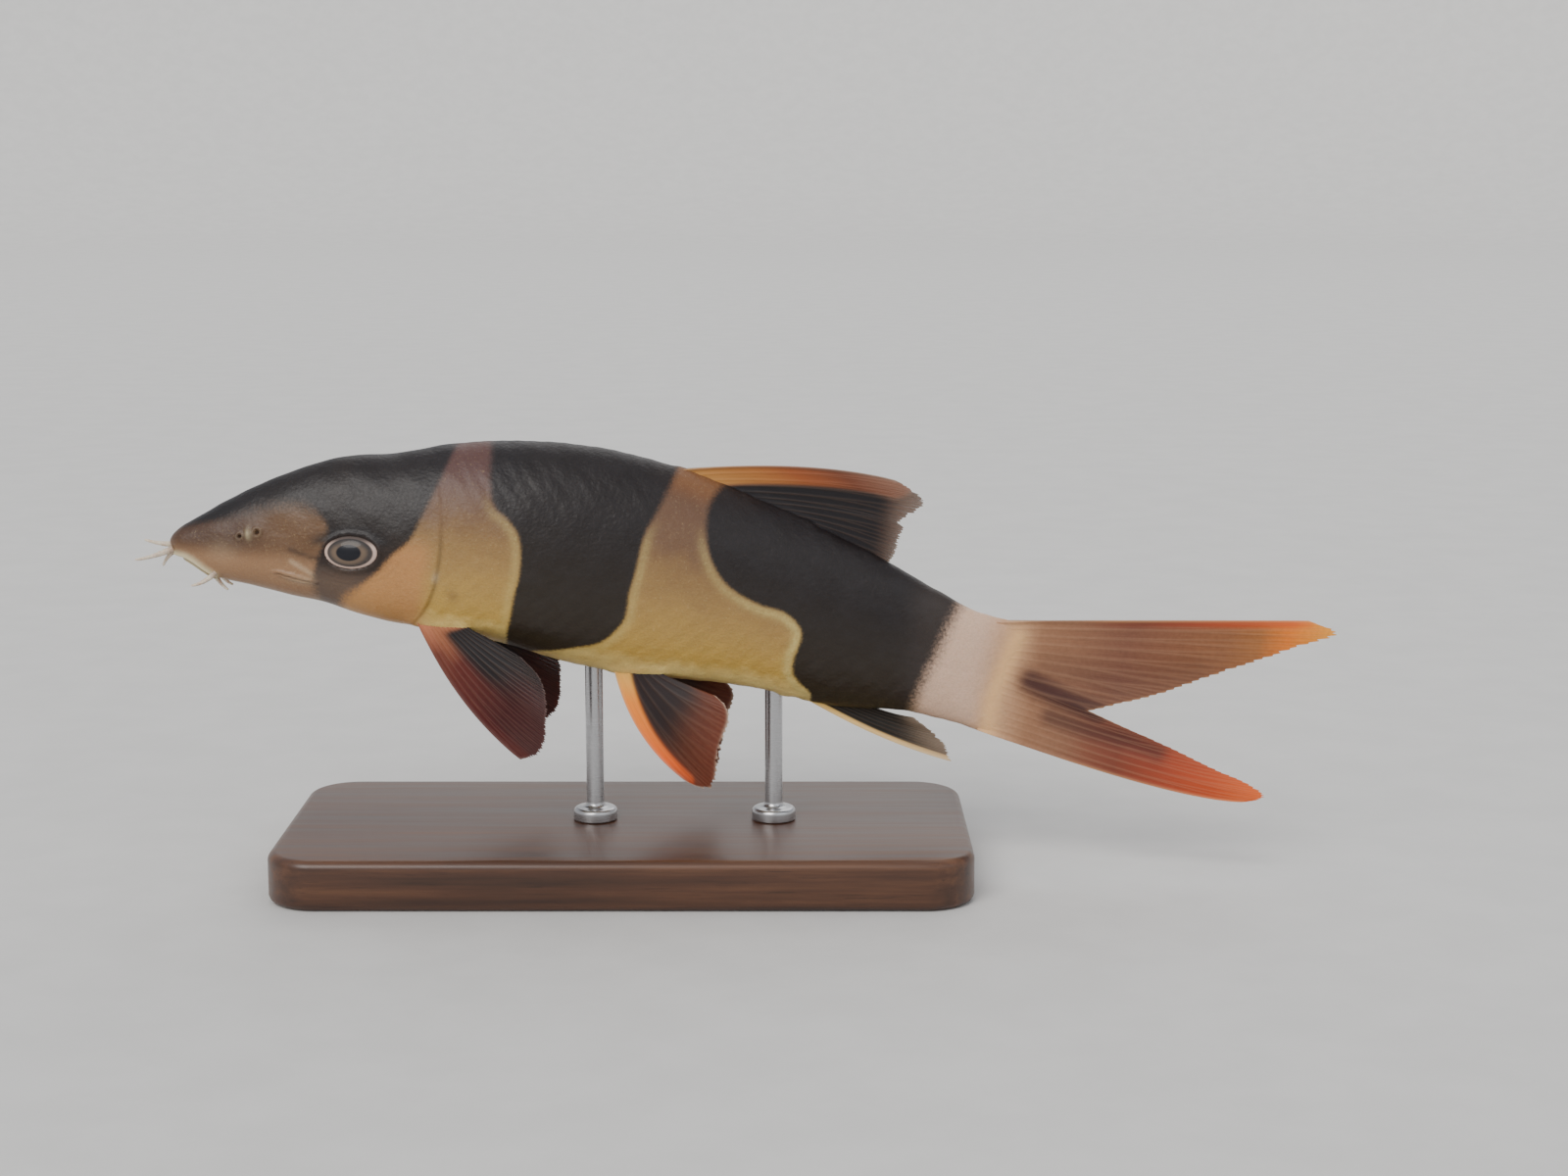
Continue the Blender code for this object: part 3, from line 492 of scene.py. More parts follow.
def signed_distance(x, z, outline):
    """How far each place lies outside a closed outline, with less than nought inside it."""
    at = np.stack([x, z], -1)
    nearest = away_from(at, np.concatenate([outline, outline[:1]]))
    inside = np.zeros(x.shape, bool)
    for (ax, az), (bx, bz) in zip(outline, np.roll(outline, -1, 0)):
        crosses = (az > z) != (bz > z)
        inside ^= crosses & (x < (bx - ax) * (z - az) / (bz - az + 1e-12) + ax)
    return np.where(inside, -nearest, nearest)


def bands(x, z):
    """The share of dark in each place, and the distance outside the nearest flank or tail band."""
    # The head band's edge is softer on the snout and under the eye, the tail band's at its rear
    head = signed_distance(x, z, rounded(HEAD_BAND))
    before_eye = smoothstep((30 - x) / 8) * smoothstep((z - 1) / 6)
    under_eye = smoothstep((1 - z) / 4)
    soft = 1.2 + 2.4 * before_eye * smoothstep((x - 7) / 9) + 1.3 * under_eye
    dark_head = smoothstep(0.5 - head / (2 * soft))
    flanks = np.minimum(
        signed_distance(x, z, rounded(FLANK_BAND)), signed_distance(x, z, rounded(TAIL_BAND))
    )
    soft = 0.7 + 0.9 * smoothstep((z - 14) / 10) + 2.6 * smoothstep((x - STALK_START) / 6)
    return np.maximum(dark_head, smoothstep(0.5 - flanks / (2 * soft))), flanks


def tail_share(x):
    """How far each place lies on the way from the stalk to the tail fin's tips."""
    return np.clip((x - TAIL_FIRST) / (TAIL_LAST - TAIL_FIRST), 0, 1)


def tail_stain(points):
    """The share of maroon in each place round the tail fin's fork."""
    flat = points * (1.0, 0.0, 1.0)
    return np.max([share * bell(away_from(flat, path) / wide) for path, wide, share in TAIL_STAINS], axis=0)


def tail_gold(points):
    """The share of pale gold in each place along the tail fin's base."""
    return 0.65 * bell(away_from(points * (1.0, 0.0, 1.0), TAIL_BASE_LINE) / 1.7)


def swing(points):
    """Bends points sideways with the swimming body."""
    step = 0.5
    x = np.arange(-20.0, 240.0, step)
    heading = np.radians(smooth_table(HEADINGS, x)[:, 0])
    spine_x = np.cumsum(np.cos(heading) * step)
    spine_y = np.cumsum(np.sin(heading) * step)
    straight = HEADINGS[2, 0]
    still = np.abs(x - straight).argmin()
    spine_x += x[still] - spine_x[still]
    spine_y -= spine_y[still]
    turn = np.interp(points[..., 0], x, heading)
    middle_x = np.interp(points[..., 0], x, spine_x)
    middle_y = np.interp(points[..., 0], x, spine_y)
    return np.stack(
        [
            middle_x - points[..., 1] * np.sin(turn),
            middle_y + points[..., 1] * np.cos(turn),
            points[..., 2],
        ],
        -1,
    )


def pose_matrix():
    """Pitches the fish head up, sets its middle over the base and lifts its lowest fin clear."""
    turn = Matrix.Rotation(math.radians(PITCH), 4, "Y")
    centre = turn @ Vector((BASE_CENTRE_SHARE * PERCENT, 0, 0))
    lowest = min((turn @ Vector(p)).z for p in pelvic(1)["margin"])
    base_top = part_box("stand_base")[1].z / MM
    return Matrix.Translation((-centre.x, 0, base_top + FIN_CLEARANCE - lowest)) @ turn


def posed(points):
    """Points of the fish's frame, swung and set on the stand, in millimetres of the scene."""
    matrix = np.array(pose_matrix())
    return swing(np.asarray(points, float)) @ matrix[:3, :3].T + matrix[:3, 3]


def grid_faces(rows, columns, wrap):
    """Quads of a grid of points, joined round its columns if wrap is set."""
    i, j = np.meshgrid(np.arange(rows - 1), np.arange(columns if wrap else columns - 1), indexing="ij")
    a, b = i * columns + j, i * columns + (j + 1) % columns
    return np.stack([a, b, b + columns, a + columns], -1).reshape(-1, 4)


def round_angles(count):
    """Angles evenly spaced round a whole turn."""
    return np.arange(count) * 2 * math.pi / count


def tube_faces(rows, columns):
    """The faces of rings joined to a tube, and of its ends, each closed by a point that follows the rings."""
    first, last, end = rows * columns, rows * columns + 1, (rows - 1) * columns
    faces = grid_faces(rows, columns, True).tolist()
    for j in range(columns):
        k = (j + 1) % columns
        faces += [(first, k, j), (last, end + j, end + k)]
    return faces


class Shader:
    """A material's node tree, with short calls for the nodes that the finishes share."""

    def __init__(self, name, **values):
        self.material = bpy.data.materials.new(name)
        self.material.use_nodes = True
        self.tree = self.material.node_tree
        self.principled = self.tree.nodes["Principled BSDF"]
        for key, value in values.items():
            self.set(key.replace("_", " ").title().replace("Ior", "IOR"), value)

    def set(self, key, value):
        self.put(self.principled.inputs[key], value)

    def put(self, socket, value):
        if isinstance(value, bpy.types.NodeSocket):
            self.tree.links.new(value, socket)
        elif isinstance(value, str):
            socket.default_value = linear(value)
        else:
            socket.default_value = value

    def node(self, kind, output, inputs=(), **settings):
        """One output of a new node with these settings and inputs."""
        node = self.tree.nodes.new("ShaderNode" + kind)
        for key, value in settings.items():
            setattr(node, key, value)
        for key, value in dict(inputs).items():
            self.put(node.inputs[key], value)
        return node.outputs[output]

    def place(self):
        return self.node("TexCoord", "Object")

    def attribute(self, name, output="Fac"):
        return self.node("Attribute", output, attribute_name=name)

    def math(self, operation, *values):
        return self.node("Math", 0, enumerate(values), operation=operation)

    def between(self, value, low, high, to_low=0.0, to_high=1.0):
        """The value's smooth way from low to high, as a number from to_low to to_high."""
        inputs = {"Value": value, "From Min": low, "From Max": high, "To Min": to_low, "To Max": to_high}
        return self.node("MapRange", 0, inputs, interpolation_type="SMOOTHSTEP")

    def mix(self, share, first, second, blend="MIX"):
        first, second = (linear(c) if isinstance(c, tuple) else c for c in (first, second))
        inputs = {0: share, 6: first, 7: second}
        return self.node("Mix", 2, inputs, data_type="RGBA", blend_type=blend)

    def stretched(self, vector, scale):
        return self.node("VectorMath", 0, {0: vector, 1: scale}, operation="MULTIPLY")

    def noise(self, vector, scale, detail=3.0, roughness=0.5):
        inputs = {"Vector": vector, "Scale": scale, "Detail": detail, "Roughness": roughness}
        return self.node("TexNoise", "Fac", inputs)

    def cells(self, vector, scale):
        return self.node("TexVoronoi", "Distance", {"Vector": vector, "Scale": scale})

    def ramp(self, value, stops):
        output = self.node("ValToRGB", 0, {0: value})
        elements = output.node.color_ramp.elements
        for element, (position, colour) in zip(elements, (stops[0], stops[-1])):
            element.position, element.color = position, linear(colour)
        for position, colour in stops[1:-1]:
            elements.new(position).color = linear(colour)
        return output

    def membrane(self, reach, stops, fine):
        """A fin's flesh by how far out it lies, a little darker in patches."""
        patches = self.between(fine, 0.3, 0.75, 0.0, 0.3)
        return self.mix(patches, self.ramp(reach, stops), "fin_patch", "MULTIPLY")

    def flesh(self, weight, radius, scale):
        """Light that sinks in a little and comes out redder."""
        self.set("Subsurface Weight", weight)
        self.set("Subsurface Radius", radius)
        self.set("Subsurface Scale", scale)

    def bump(self, height, distance, strength=1.0, normal=None):
        inputs = {"Height": height, "Distance": distance, "Strength": strength}
        if normal:
            inputs["Normal"] = normal
        return self.node("Bump", 0, inputs)


def skin_material():
    """Wet skin with minute scales, gold below and orange-brown above, under soft-edged slate bands."""
    s = Shader("skin", ior=1.36, coat_weight=0.2, coat_roughness=0.24, coat_ior=1.33)
    fish = s.attribute("fish", "Vector")
    mottle = s.noise(s.stretched(fish, (0.6, 1.0, 1.0)), 0.35, 5.0, 0.6)
    fine = s.noise(fish, 2.2, 4.0, 0.6)
    grain = s.noise(s.stretched(fish, (0.5, 1.0, 1.0)), 5.5, 3.0, 0.7)
    height = s.math("ADD", s.attribute("height"), s.math("MULTIPLY", s.math("SUBTRACT", mottle, 0.5), 0.14))
    colour = s.ramp(height, [(0.03, "belly"), (0.14, "low"), (0.42, "flank"), (0.68, "high"), (0.95, "back")])
    for zone in ("shoulder", "crest", "stalk", "opercle", "cheek", "brow", "snout", "pale"):
        colour = s.mix(s.attribute(zone), colour, zone)
    colour = s.mix(s.between(grain, 0.35, 0.75, 0.0, 0.22), colour, "grain")
    colour = s.mix(s.between(fine, 0.55, 0.8, 0.0, 0.22), colour, "speck")
    rim = s.math("MULTIPLY", s.attribute("rim"), s.between(fine, 0.2, 0.7, 0.5, 1.0))
    colour = s.mix(rim, colour, "band_edge")
    dark = s.attribute("dark")
    edge = s.math("MULTIPLY", dark, s.math("SUBTRACT", 1.0, dark))
    broken = s.math("MULTIPLY", edge, s.math("MULTIPLY", s.math("SUBTRACT", fine, 0.5), 3.2))
    dark = s.between(s.math("ADD", dark, broken), 0.08, 0.92)
    slate = s.mix(s.between(mottle, 0.3, 0.8), "band", "band_light")
    slate = s.mix(s.between(grain, 0.5, 0.8, 0.0, 0.18), slate, "band_speck")
    slate = s.mix(s.attribute("faded"), slate, "band_brown")
    colour = s.mix(s.math("MULTIPLY", dark, 0.96), colour, slate)
    tail = s.membrane(s.attribute("reach"), TAIL_STOPS, s.noise(fish, 1.4, 4.0, 0.6))
    colour = s.mix(s.attribute("tail"), colour, tail)
    colour = s.mix(s.attribute("gold"), colour, "fin_gold")
    colour = s.mix(s.between(s.attribute("maroon"), 0.05, 0.95), colour, "maroon")
    # Painted shadow over the eyes, pale lips, and painted shade in creases and pits
    for zone in ("painted_shade", "lip", "crease_shadow"):
        colour = s.mix(s.attribute(zone), colour, zone)
    s.set("Base Color", colour)
    s.set("Roughness", s.between(fine, 0.25, 0.8, 0.4, 0.54))
    s.flesh(0.12, (1.0, 0.5, 0.25), 0.0012)
    scales = s.cells(s.stretched(fish, (0.8, 1.0, 1.0)), 1.9)
    waves = s.bump(s.noise(fish, 0.9, 3.0, 0.5), 0.00025, 0.5)
    s.set("Normal", s.bump(scales, 0.00006, 0.6, waves))
    return s.material


def eye_material():
    """An iris with a thin pale ring and an oval pupil under a clear wet surface, with painted shadow
    darkening the iris's top and hiding the ring there.
    """
    s = Shader("eye_globe", roughness=0.42, ior=1.33, coat_weight=0.25, coat_roughness=0.1)
    radial, pupil, above = s.attribute("radial"), s.attribute("pupil"), s.attribute("above")
    noise = s.noise(s.attribute("fish", "Vector"), 3.0, 4.0, 0.6)
    iris = s.mix(s.between(noise, 0.35, 0.7, 0.0, 0.5), "iris", "iris_speck")
    iris = s.mix(s.between(pupil, 1.2, 1.65, 0.9, 0.0), iris, "iris_inner")
    # Painted shadow of the brow over the iris's upper part
    iris = s.mix(s.between(above, 0.1, 0.7, 0.0, 0.75), iris, "iris_above")
    colour = s.mix(s.between(pupil, 0.9, 1.08, 1.0, 0.0), iris, "pupil")
    ring = s.math("MULTIPLY", s.between(radial, 0.83, 0.9), s.between(radial, 0.97, 1.03, 1.0, 0.0))
    # The pale ring fades out at the top under the same painted shadow
    ring = s.math("MULTIPLY", ring, s.between(above, 0.3, 0.85, 1.0, 0.12))
    colour = s.mix(ring, colour, "eye_ring")
    # Painted shade round the eyeball's edge, where it meets the skin
    colour = s.mix(s.between(radial, 0.99, 1.05), colour, "crease_shadow")
    s.set("Base Color", colour)
    return s.material


def barbel_material():
    """Pale flesh, browner towards the root."""
    s = Shader("barbel_flesh", roughness=0.4, ior=1.4, coat_weight=0.25, coat_roughness=0.2)
    noise = s.noise(s.attribute("fish", "Vector"), 1.6, 4.0, 0.6)
    colour = s.mix(s.between(noise, 0.35, 0.7, 0.0, 0.5), "barbel", "barbel_patch")
    colour = s.mix(s.between(s.attribute("along"), 0.0, 0.25, 0.6, 0.0), colour, "barbel_root")
    s.set("Base Color", colour)
    s.flesh(0.2, (1.0, 0.5, 0.3), 0.0008)
    s.set("Normal", s.bump(s.noise(s.attribute("fish", "Vector"), 4.0, 3.0, 0.6), 0.00008, 0.6))
    return s.material


def fin_material(name, body, dark, lead, margin):
    """A membrane between rays: its body and leading part by how far out they lie, a dark part and a rim."""
    s = Shader(name, roughness=0.52, ior=1.33, coat_weight=0.03, coat_roughness=0.3)
    ray, reach = s.attribute("ray"), s.attribute("reach")
    streaks = s.noise(s.stretched(s.attribute("spread", "Vector"), (3.0, 90.0, 1.0)), 1.0, 4.0, 0.65)
    uneven = s.math("MULTIPLY", s.math("SUBTRACT", streaks, 0.5), 0.5)
    colour = s.membrane(reach, body, s.noise(s.attribute("fish", "Vector"), 1.4, 4.0, 0.6))
    colour = s.mix(s.attribute("gold"), colour, "fin_gold")
    lead_share = s.between(s.math("ADD", s.attribute("lead"), uneven), 0.1, 0.9)
    colour = s.mix(s.math("MULTIPLY", lead_share, s.attribute("leads")), colour, s.ramp(reach, lead))
    streaked = s.attribute("streaked")
    deep = s.math("MULTIPLY", s.between(streaks, 0.48, 0.8), streaked)
    colour = s.mix(deep, colour, "fin_deep", "MULTIPLY")
    colour = s.mix(s.between(s.attribute("dark"), 0.05, 0.95), colour, dark)
    pale = s.math("MULTIPLY", s.between(streaks, 0.2, 0.42, 0.35, 0.0), streaked)
    colour = s.mix(pale, colour, "fin_pale")
    colour = s.mix(s.math("MULTIPLY", ray, s.attribute("rays")), colour, "ray")
    colour = s.mix(s.attribute("margin"), colour, margin)
    s.set("Base Color", colour)
    clear = s.math("MULTIPLY", s.attribute("clear"), s.between(ray, 0.0, 0.8, 1.0, 0.35))
    s.set("Alpha", s.math("SUBTRACT", 1.0, clear))
    s.flesh(0.08, (1.0, 0.5, 0.3), 0.0006)
    s.set("Normal", s.bump(streaks, 0.00005, 0.4))
    return s.material


def wood_material():
    """Dark stained close-grained wood under a satin finish."""
    s = Shader("stained_wood", ior=1.45, coat_weight=0.3, coat_roughness=0.25)
    place = s.place()
    bend = s.noise(s.stretched(place, (12.0, 40.0, 40.0)), 1.0, 3.0, 0.5)
    grain = s.noise(s.stretched(place, (18.0, 420.0, 420.0)), 1.0, 6.0, 0.62)
    pores = s.noise(s.stretched(place, (90.0, 2400.0, 2400.0)), 1.0, 3.0, 0.7)
    figure = s.math("ADD", s.math("MULTIPLY", grain, 0.7), s.math("MULTIPLY", bend, 0.3))
    colour = s.ramp(figure, [(0.3, "wood_deep"), (0.5, "wood"), (0.7, "wood_light")])
    colour = s.mix(s.between(pores, 0.58, 0.75, 0.0, 0.55), colour, "wood_pore")
    s.set("Base Color", colour)
    s.set("Roughness", s.between(grain, 0.3, 0.75, 0.36, 0.5))
    s.set("Normal", s.bump(s.math("ADD", grain, s.math("MULTIPLY", pores, -0.5)), 0.0001, 0.35))
    return s.material


def steel_material():
    """Satin steel, turned, with fine rings round the rod."""
    s = Shader("satin_steel", base_color="steel", metallic=1.0)
    rings = s.noise(s.stretched(s.place(), (40.0, 40.0, 6000.0)), 1.0, 2.0, 0.5)
    s.set("Roughness", s.between(rings, 0.3, 0.75, 0.26, 0.36))
    return s.material


def ring_stations():
    """Distances from the snout of the skin's rings, close together where the head has fine forms."""
    stations = [0.0]
    for end, spacing in RING_SPACING:
        count = max(1, round((end - stations[-1]) / spacing))
        stations += list(np.linspace(stations[-1], end, count + 1)[1:])
    stations = np.array(stations)
    first = stations <= RING_SPACING[0][0]
    stations[first] = stations[first] ** 2 / RING_SPACING[0][0]
    stations[0] = stations[1] * 0.3
    near_gill = np.abs(stations - GILL_X).argmin()
    stations[near_gill] = GILL_X
    return stations


def lip_path(setback):
    """The mouth's U under the snout, set back from the snout's tip."""
    path = []
    for s in np.linspace(-1, 1, 41):
        front = LIP_FRONT + setback
        x = front + (LIP_CORNER_X - front) * abs(s) ** 2.2
        y = (LIP_CORNER_Y - LIP_NARROWING * setback) * math.sin(s * math.pi / 2)
        path.append((x, y, underside(x, y)))
    return path


def mirrored(points, x, z, tilt=0.0):
    """The points in the axes of one place of the flank, on the left and then on the right."""
    return [in_frame(points, flank_frame(x, z, side, tilt)) for side in (-1, 1)]


def eye_frame(side):
    """The axes at the middle of an eyeball, which lies sunk in the head."""
    return flank_frame(EYE_X, EYE_Z, side, EYE_TILT) @ Matrix.Translation((0, 0, -EYE_SUNK))


def mouth_relief(points):
    """Height of lips and mouth line, the weight of the lips' colour, and painted shade along the mouth line.
    """
    upper = away_from(points, lip_path(0.0))
    lower = away_from(points, lip_path(LOWER_LIP_SETBACK))
    line = away_from(points, lip_path(LOWER_LIP_SETBACK / 2))
    height = 0.75 * bell(upper / 0.75) + 0.65 * bell(lower / 0.7) - 0.75 * bell(line / 0.32)
    return height, np.maximum(bell(upper / 0.62), 0.8 * bell(lower / 0.6)), 0.9 * bell(line / 0.3)


def eye_relief(points):
    """Height of the orbital rim, its groove and the folds below it, painted shade in that groove and those
    folds, the dark round the eye, and painted shadow above it.
    """
    height, crease_shadow, smudge, painted_shade = (np.zeros(points.shape[:-1]) for _ in range(4))
    for local in mirrored(points, EYE_X, EYE_Z, EYE_TILT):
        r = np.hypot(local[..., 0] / RIM_LONG, local[..., 1] / RIM_SHORT)
        height += 0.42 * bell((r - 1.02) / 0.09) - 0.3 * bell((r - 0.9) / 0.05)
        height -= 0.6 * smoothstep((0.86 - r) / 0.1)
        below = smoothstep((-local[..., 1] - 0.5) / 1.5)
        # Painted shade in the folds below the eye, and in the groove round its rim
        for fold, deep in ((1.28, 0.1), (1.5, 0.07), (1.75, 0.05)):
            height -= below * deep * bell((r - fold) / 0.05)
            crease_shadow += below * 2.0 * deep * bell((r - fold) / 0.06)
        crease_shadow += 0.75 * bell((r - 0.94) / 0.05)
        smudge += smoothstep((1.75 - r) / 0.7)
        # Painted shadow under the brow, darkening the skin above each eye
        painted_shade += 0.8 * smoothstep((local[..., 1] - 0.6) / 1.6) * bell((r - 1.2) / 0.32)
    return height, crease_shadow, smudge, painted_shade


def nostril_relief(points):
    """Height of the nostrils' rims, pits and the flap between them, the painted shade in their pits, and the
    pale weights of rims and flap.
    """
    height, crease_shadow, pale = (np.zeros(points.shape[:-1]) for _ in range(3))
    for x, z, radius in NOSTRILS:
        for local in mirrored(points, x * PERCENT, z * PERCENT):
            r = np.hypot(local[..., 0], local[..., 1]) / radius
            height += 0.3 * bell((r - 1.05) / 0.4) - 0.7 * smoothstep((0.8 - r) / 0.65)
            crease_shadow += 0.6 * smoothstep((0.62 - r) / 0.4)
            pale += 0.08 * bell((r - 1.1) / 0.3)
    between = np.add(NOSTRILS[0][:2], NOSTRILS[1][:2]) / 2 * PERCENT
    for local in mirrored(points, *between, FLAP_TILT):
        flap = bell(np.hypot(local[..., 0] / 0.55, local[..., 1] / 0.95))
        height += 0.55 * flap
        pale += 0.45 * flap
    return height, crease_shadow, pale


def spine_relief(points):
    """Height of the fold under the eye and of the slit along it where the spine lies, and painted shade in
    that slit.
    """
    height, crease_shadow = (np.zeros(points.shape[:-1]) for _ in range(2))
    fold = SPINE_FOLD
    for local in mirrored(points, fold["x"], fold["z"], fold["tilt"]):
        p, q = local[..., 0], local[..., 1]
        inside = np.clip(1 - (p / fold["long"]) ** 2 - (q / fold["high"]) ** 2, 0, 1)
        slit = bell((q + 0.12) / 0.16) * window(p, -3.0, 2.6, 1.0)
        height += 0.5 * np.sqrt(inside) - 0.38 * slit
        crease_shadow += 0.5 * slit
    return height, crease_shadow


def cheek_marks(points):
    """The weights of the cheek's pale line and spots, partly painted highlight, of painted shade along its
    groove, and of the gill cover's smudge.
    """
    pale, groove, smudge = (np.zeros(points.shape[:-1]) for _ in range(3))
    for side in (-1, 1):
        # Painted highlight along the cheek's fold, and painted shade along its groove
        line = away_from(points, [flank(x, z, side) for x, z in CHEEK_LINE])
        pale += 0.4 * bell(line / 0.45)
        groove += 0.55 * bell(away_from(points, [flank(x, z, side) for x, z in CHEEK_GROOVE]) / 0.45)
    for x, z, wide, high, share in CHEEK_SPOTS:
        for local in mirrored(points, x, z):
            pale += share * bell(np.hypot(local[..., 0] / wide, local[..., 1] / high))
    for local in mirrored(points, *GILL_SMUDGE):
        smudge += 0.4 * bell(np.hypot(local[..., 0], local[..., 1]) / 1.5)
    return pale, groove, smudge


def gill_relief(x, z, angle):
    """Height of the gill cover's edge, and painted shade in the crease behind it."""
    side = np.abs(np.sin(angle))
    behind = x - gill_line(side)
    over = smoothstep((behind + 0.12) / 0.34)
    lift = OPERCLE_LIFT * np.exp(np.minimum(behind, 0) / LIFT_FADE)
    step = -GILL_STEP * np.exp(-np.maximum(behind, 0) / STEP_FADE)
    strength = side**2 * (1 - 0.85 * smoothstep((z - 8) / 7))
    height = 0.6 * (lift * (1 - over) + step * over) * strength
    return height, 0.22 * bell((behind - 0.3) / 0.4) * strength


def fin_root_relief(points):
    """Low swellings of the skin where each fin grows out of it, and the vent ahead of the anal fin."""
    height = np.zeros(points.shape[:-1])
    for name, fin in fins().items():
        if name.startswith("caudal"):
            continue
        distance = away_from(points, fin["base"])
        paired = name.startswith("pe")
        height += (0.55 if paired else 0.4) * bell(distance / (1.9 if paired else 1.1))
    vent = np.array((VENT_X, 0.0, belly_height(VENT_X)))
    distance = np.linalg.norm(points - vent, axis=-1)
    return height + 0.5 * bell(distance / 1.3) - 0.5 * bell(distance / 0.4)


def flank_relief(points):
    """Low unevenness of the flesh, the cheek and the lateral line."""
    x, y, z = np.moveaxis(points, -1, 0)
    line_z = np.interp(x, *zip(*LATERAL_LINE))
    on_flank = window(x, 52.0, 148.0, 6.0)
    line = bell((z - line_z) / 0.4) * on_flank
    pores = smoothstep((np.cos(x * 2 * math.pi / 2.1) - 0.2) / 0.6)
    side = np.abs(y) / (np.abs(y) + 2.0)
    height = 0.4 * bell((x - 25.5) / 5.5) * bell((z + 0.5) / 2.6) * side
    height -= 0.25 * bell((x - 19.0) / 3.0) * bell((z - 6.5) / 2.5) * side
    chevrons = np.sin((x + 0.9 * np.abs(z - line_z)) * 2 * math.pi / 3.3)
    height += 0.025 * chevrons * on_flank
    height += 0.05 * np.sin(x * 0.71 + z * 0.4) * np.sin(z * 0.63 + y * 0.5 + 1.3)
    return height - (0.04 + 0.05 * pores) * line


def skin_grid():
    """The rings' places along the fish, and the angle and bare place of each point on them."""
    stations = ring_stations()[:, None]
    angle = round_angles(AROUND)
    near = 1 - smoothstep(np.abs(stations - GILL_X) / GILL_REACH)
    x = stations + near * (gill_line(np.abs(np.sin(angle))) - GILL_X)
    hollow = -HOLLOW_DEPTH * (1 - np.abs(np.cos(angle)) ** 1.5)
    x = x + smoothstep((stations - HOLLOW_START) / HOLLOW_FADE) * hollow
    angle = np.broadcast_to(angle, x.shape)
    points = skin_points(x, angle)
    thinner = section(stations)[2] / np.maximum(section(x)[2], 1e-3)
    taper = 1 - TAPER_SHARE * smoothstep((stations - TAPER_START) / TAPER_FADE)
    points[..., 1] *= np.where(stations > HOLLOW_START, thinner, 1.0) * taper
    return stations, angle, points


def pushed_out(points, height):
    """The skin's points moved outwards by their height."""
    along = np.gradient(points, axis=0)
    turning = (np.roll(points, -1, axis=1) - np.roll(points, 1, axis=1)) / 2
    normal = np.cross(turning, along)
    normal /= np.linalg.norm(normal, axis=-1, keepdims=True) + 1e-12
    if normal[len(normal) // 2, AROUND // 4, 1] < 0:
        normal = -normal
    return points + normal * height[..., None]


def skin_weights(points):
    """The colour weights of the skin that depend only on where its points lie."""
    x, z = points[..., 0], points[..., 2]
    back, belly = section(x)[:2]
    dark, outside = bands(x, z)
    front_edge = smoothstep((x - 88) / 4)
    rim_strength = 0.35 + 0.5 * front_edge * smoothstep((9 - z) / 6) * smoothstep((122 - x) / 8)
    rim_end = smoothstep((138 - x) / 4) * smoothstep((20 - z) / 6)
    crest_line = [(crest_x, 0, back_height(crest_x)) for crest_x in (86.0, 100.0)]
    from_crest = away_from(points * (1.0, 0.4, 1.0), crest_line)
    return {
        "fish": points,
        "height": (z - belly) / (back - belly + 1e-6),
        "reach": tail_share(x),
        "dark": dark,
        "faded": 0.85 * smoothstep((3.5 - z) / 5) * smoothstep((48 - x) / 4),
        "rim": rim_strength * bell((outside - 0.9) / 0.8) * rim_end,
        "shoulder": 0.9 * window(x, 45.0, 58.0, 5.0) * smoothstep((z - 14) / 9),
        "crest": 0.75 * smoothstep((5.5 - from_crest) / 4.0),
        "opercle": 0.9 * window(x, 30.0, 45.0, 4.0) * smoothstep((11 - z) / 5),
        "cheek": smoothstep((32 - x) / 5),
        "brow": 0.9 * smoothstep((31 - x) / 5) * smoothstep((z - 0.5 + 0.06 * (28 - x)) / 4.0),
        "snout": 0.85 * smoothstep((21 - x) / 10) * smoothstep((z + 1.2 + 0.12 * (10 - x)) / 4.5),
        "stalk": smoothstep((x - STALK_START) / 8),
        "tail": smoothstep((x - TAIL_SKIN_START) / 7),
        "gold": tail_gold(points),
        "maroon": tail_stain(points),
    }


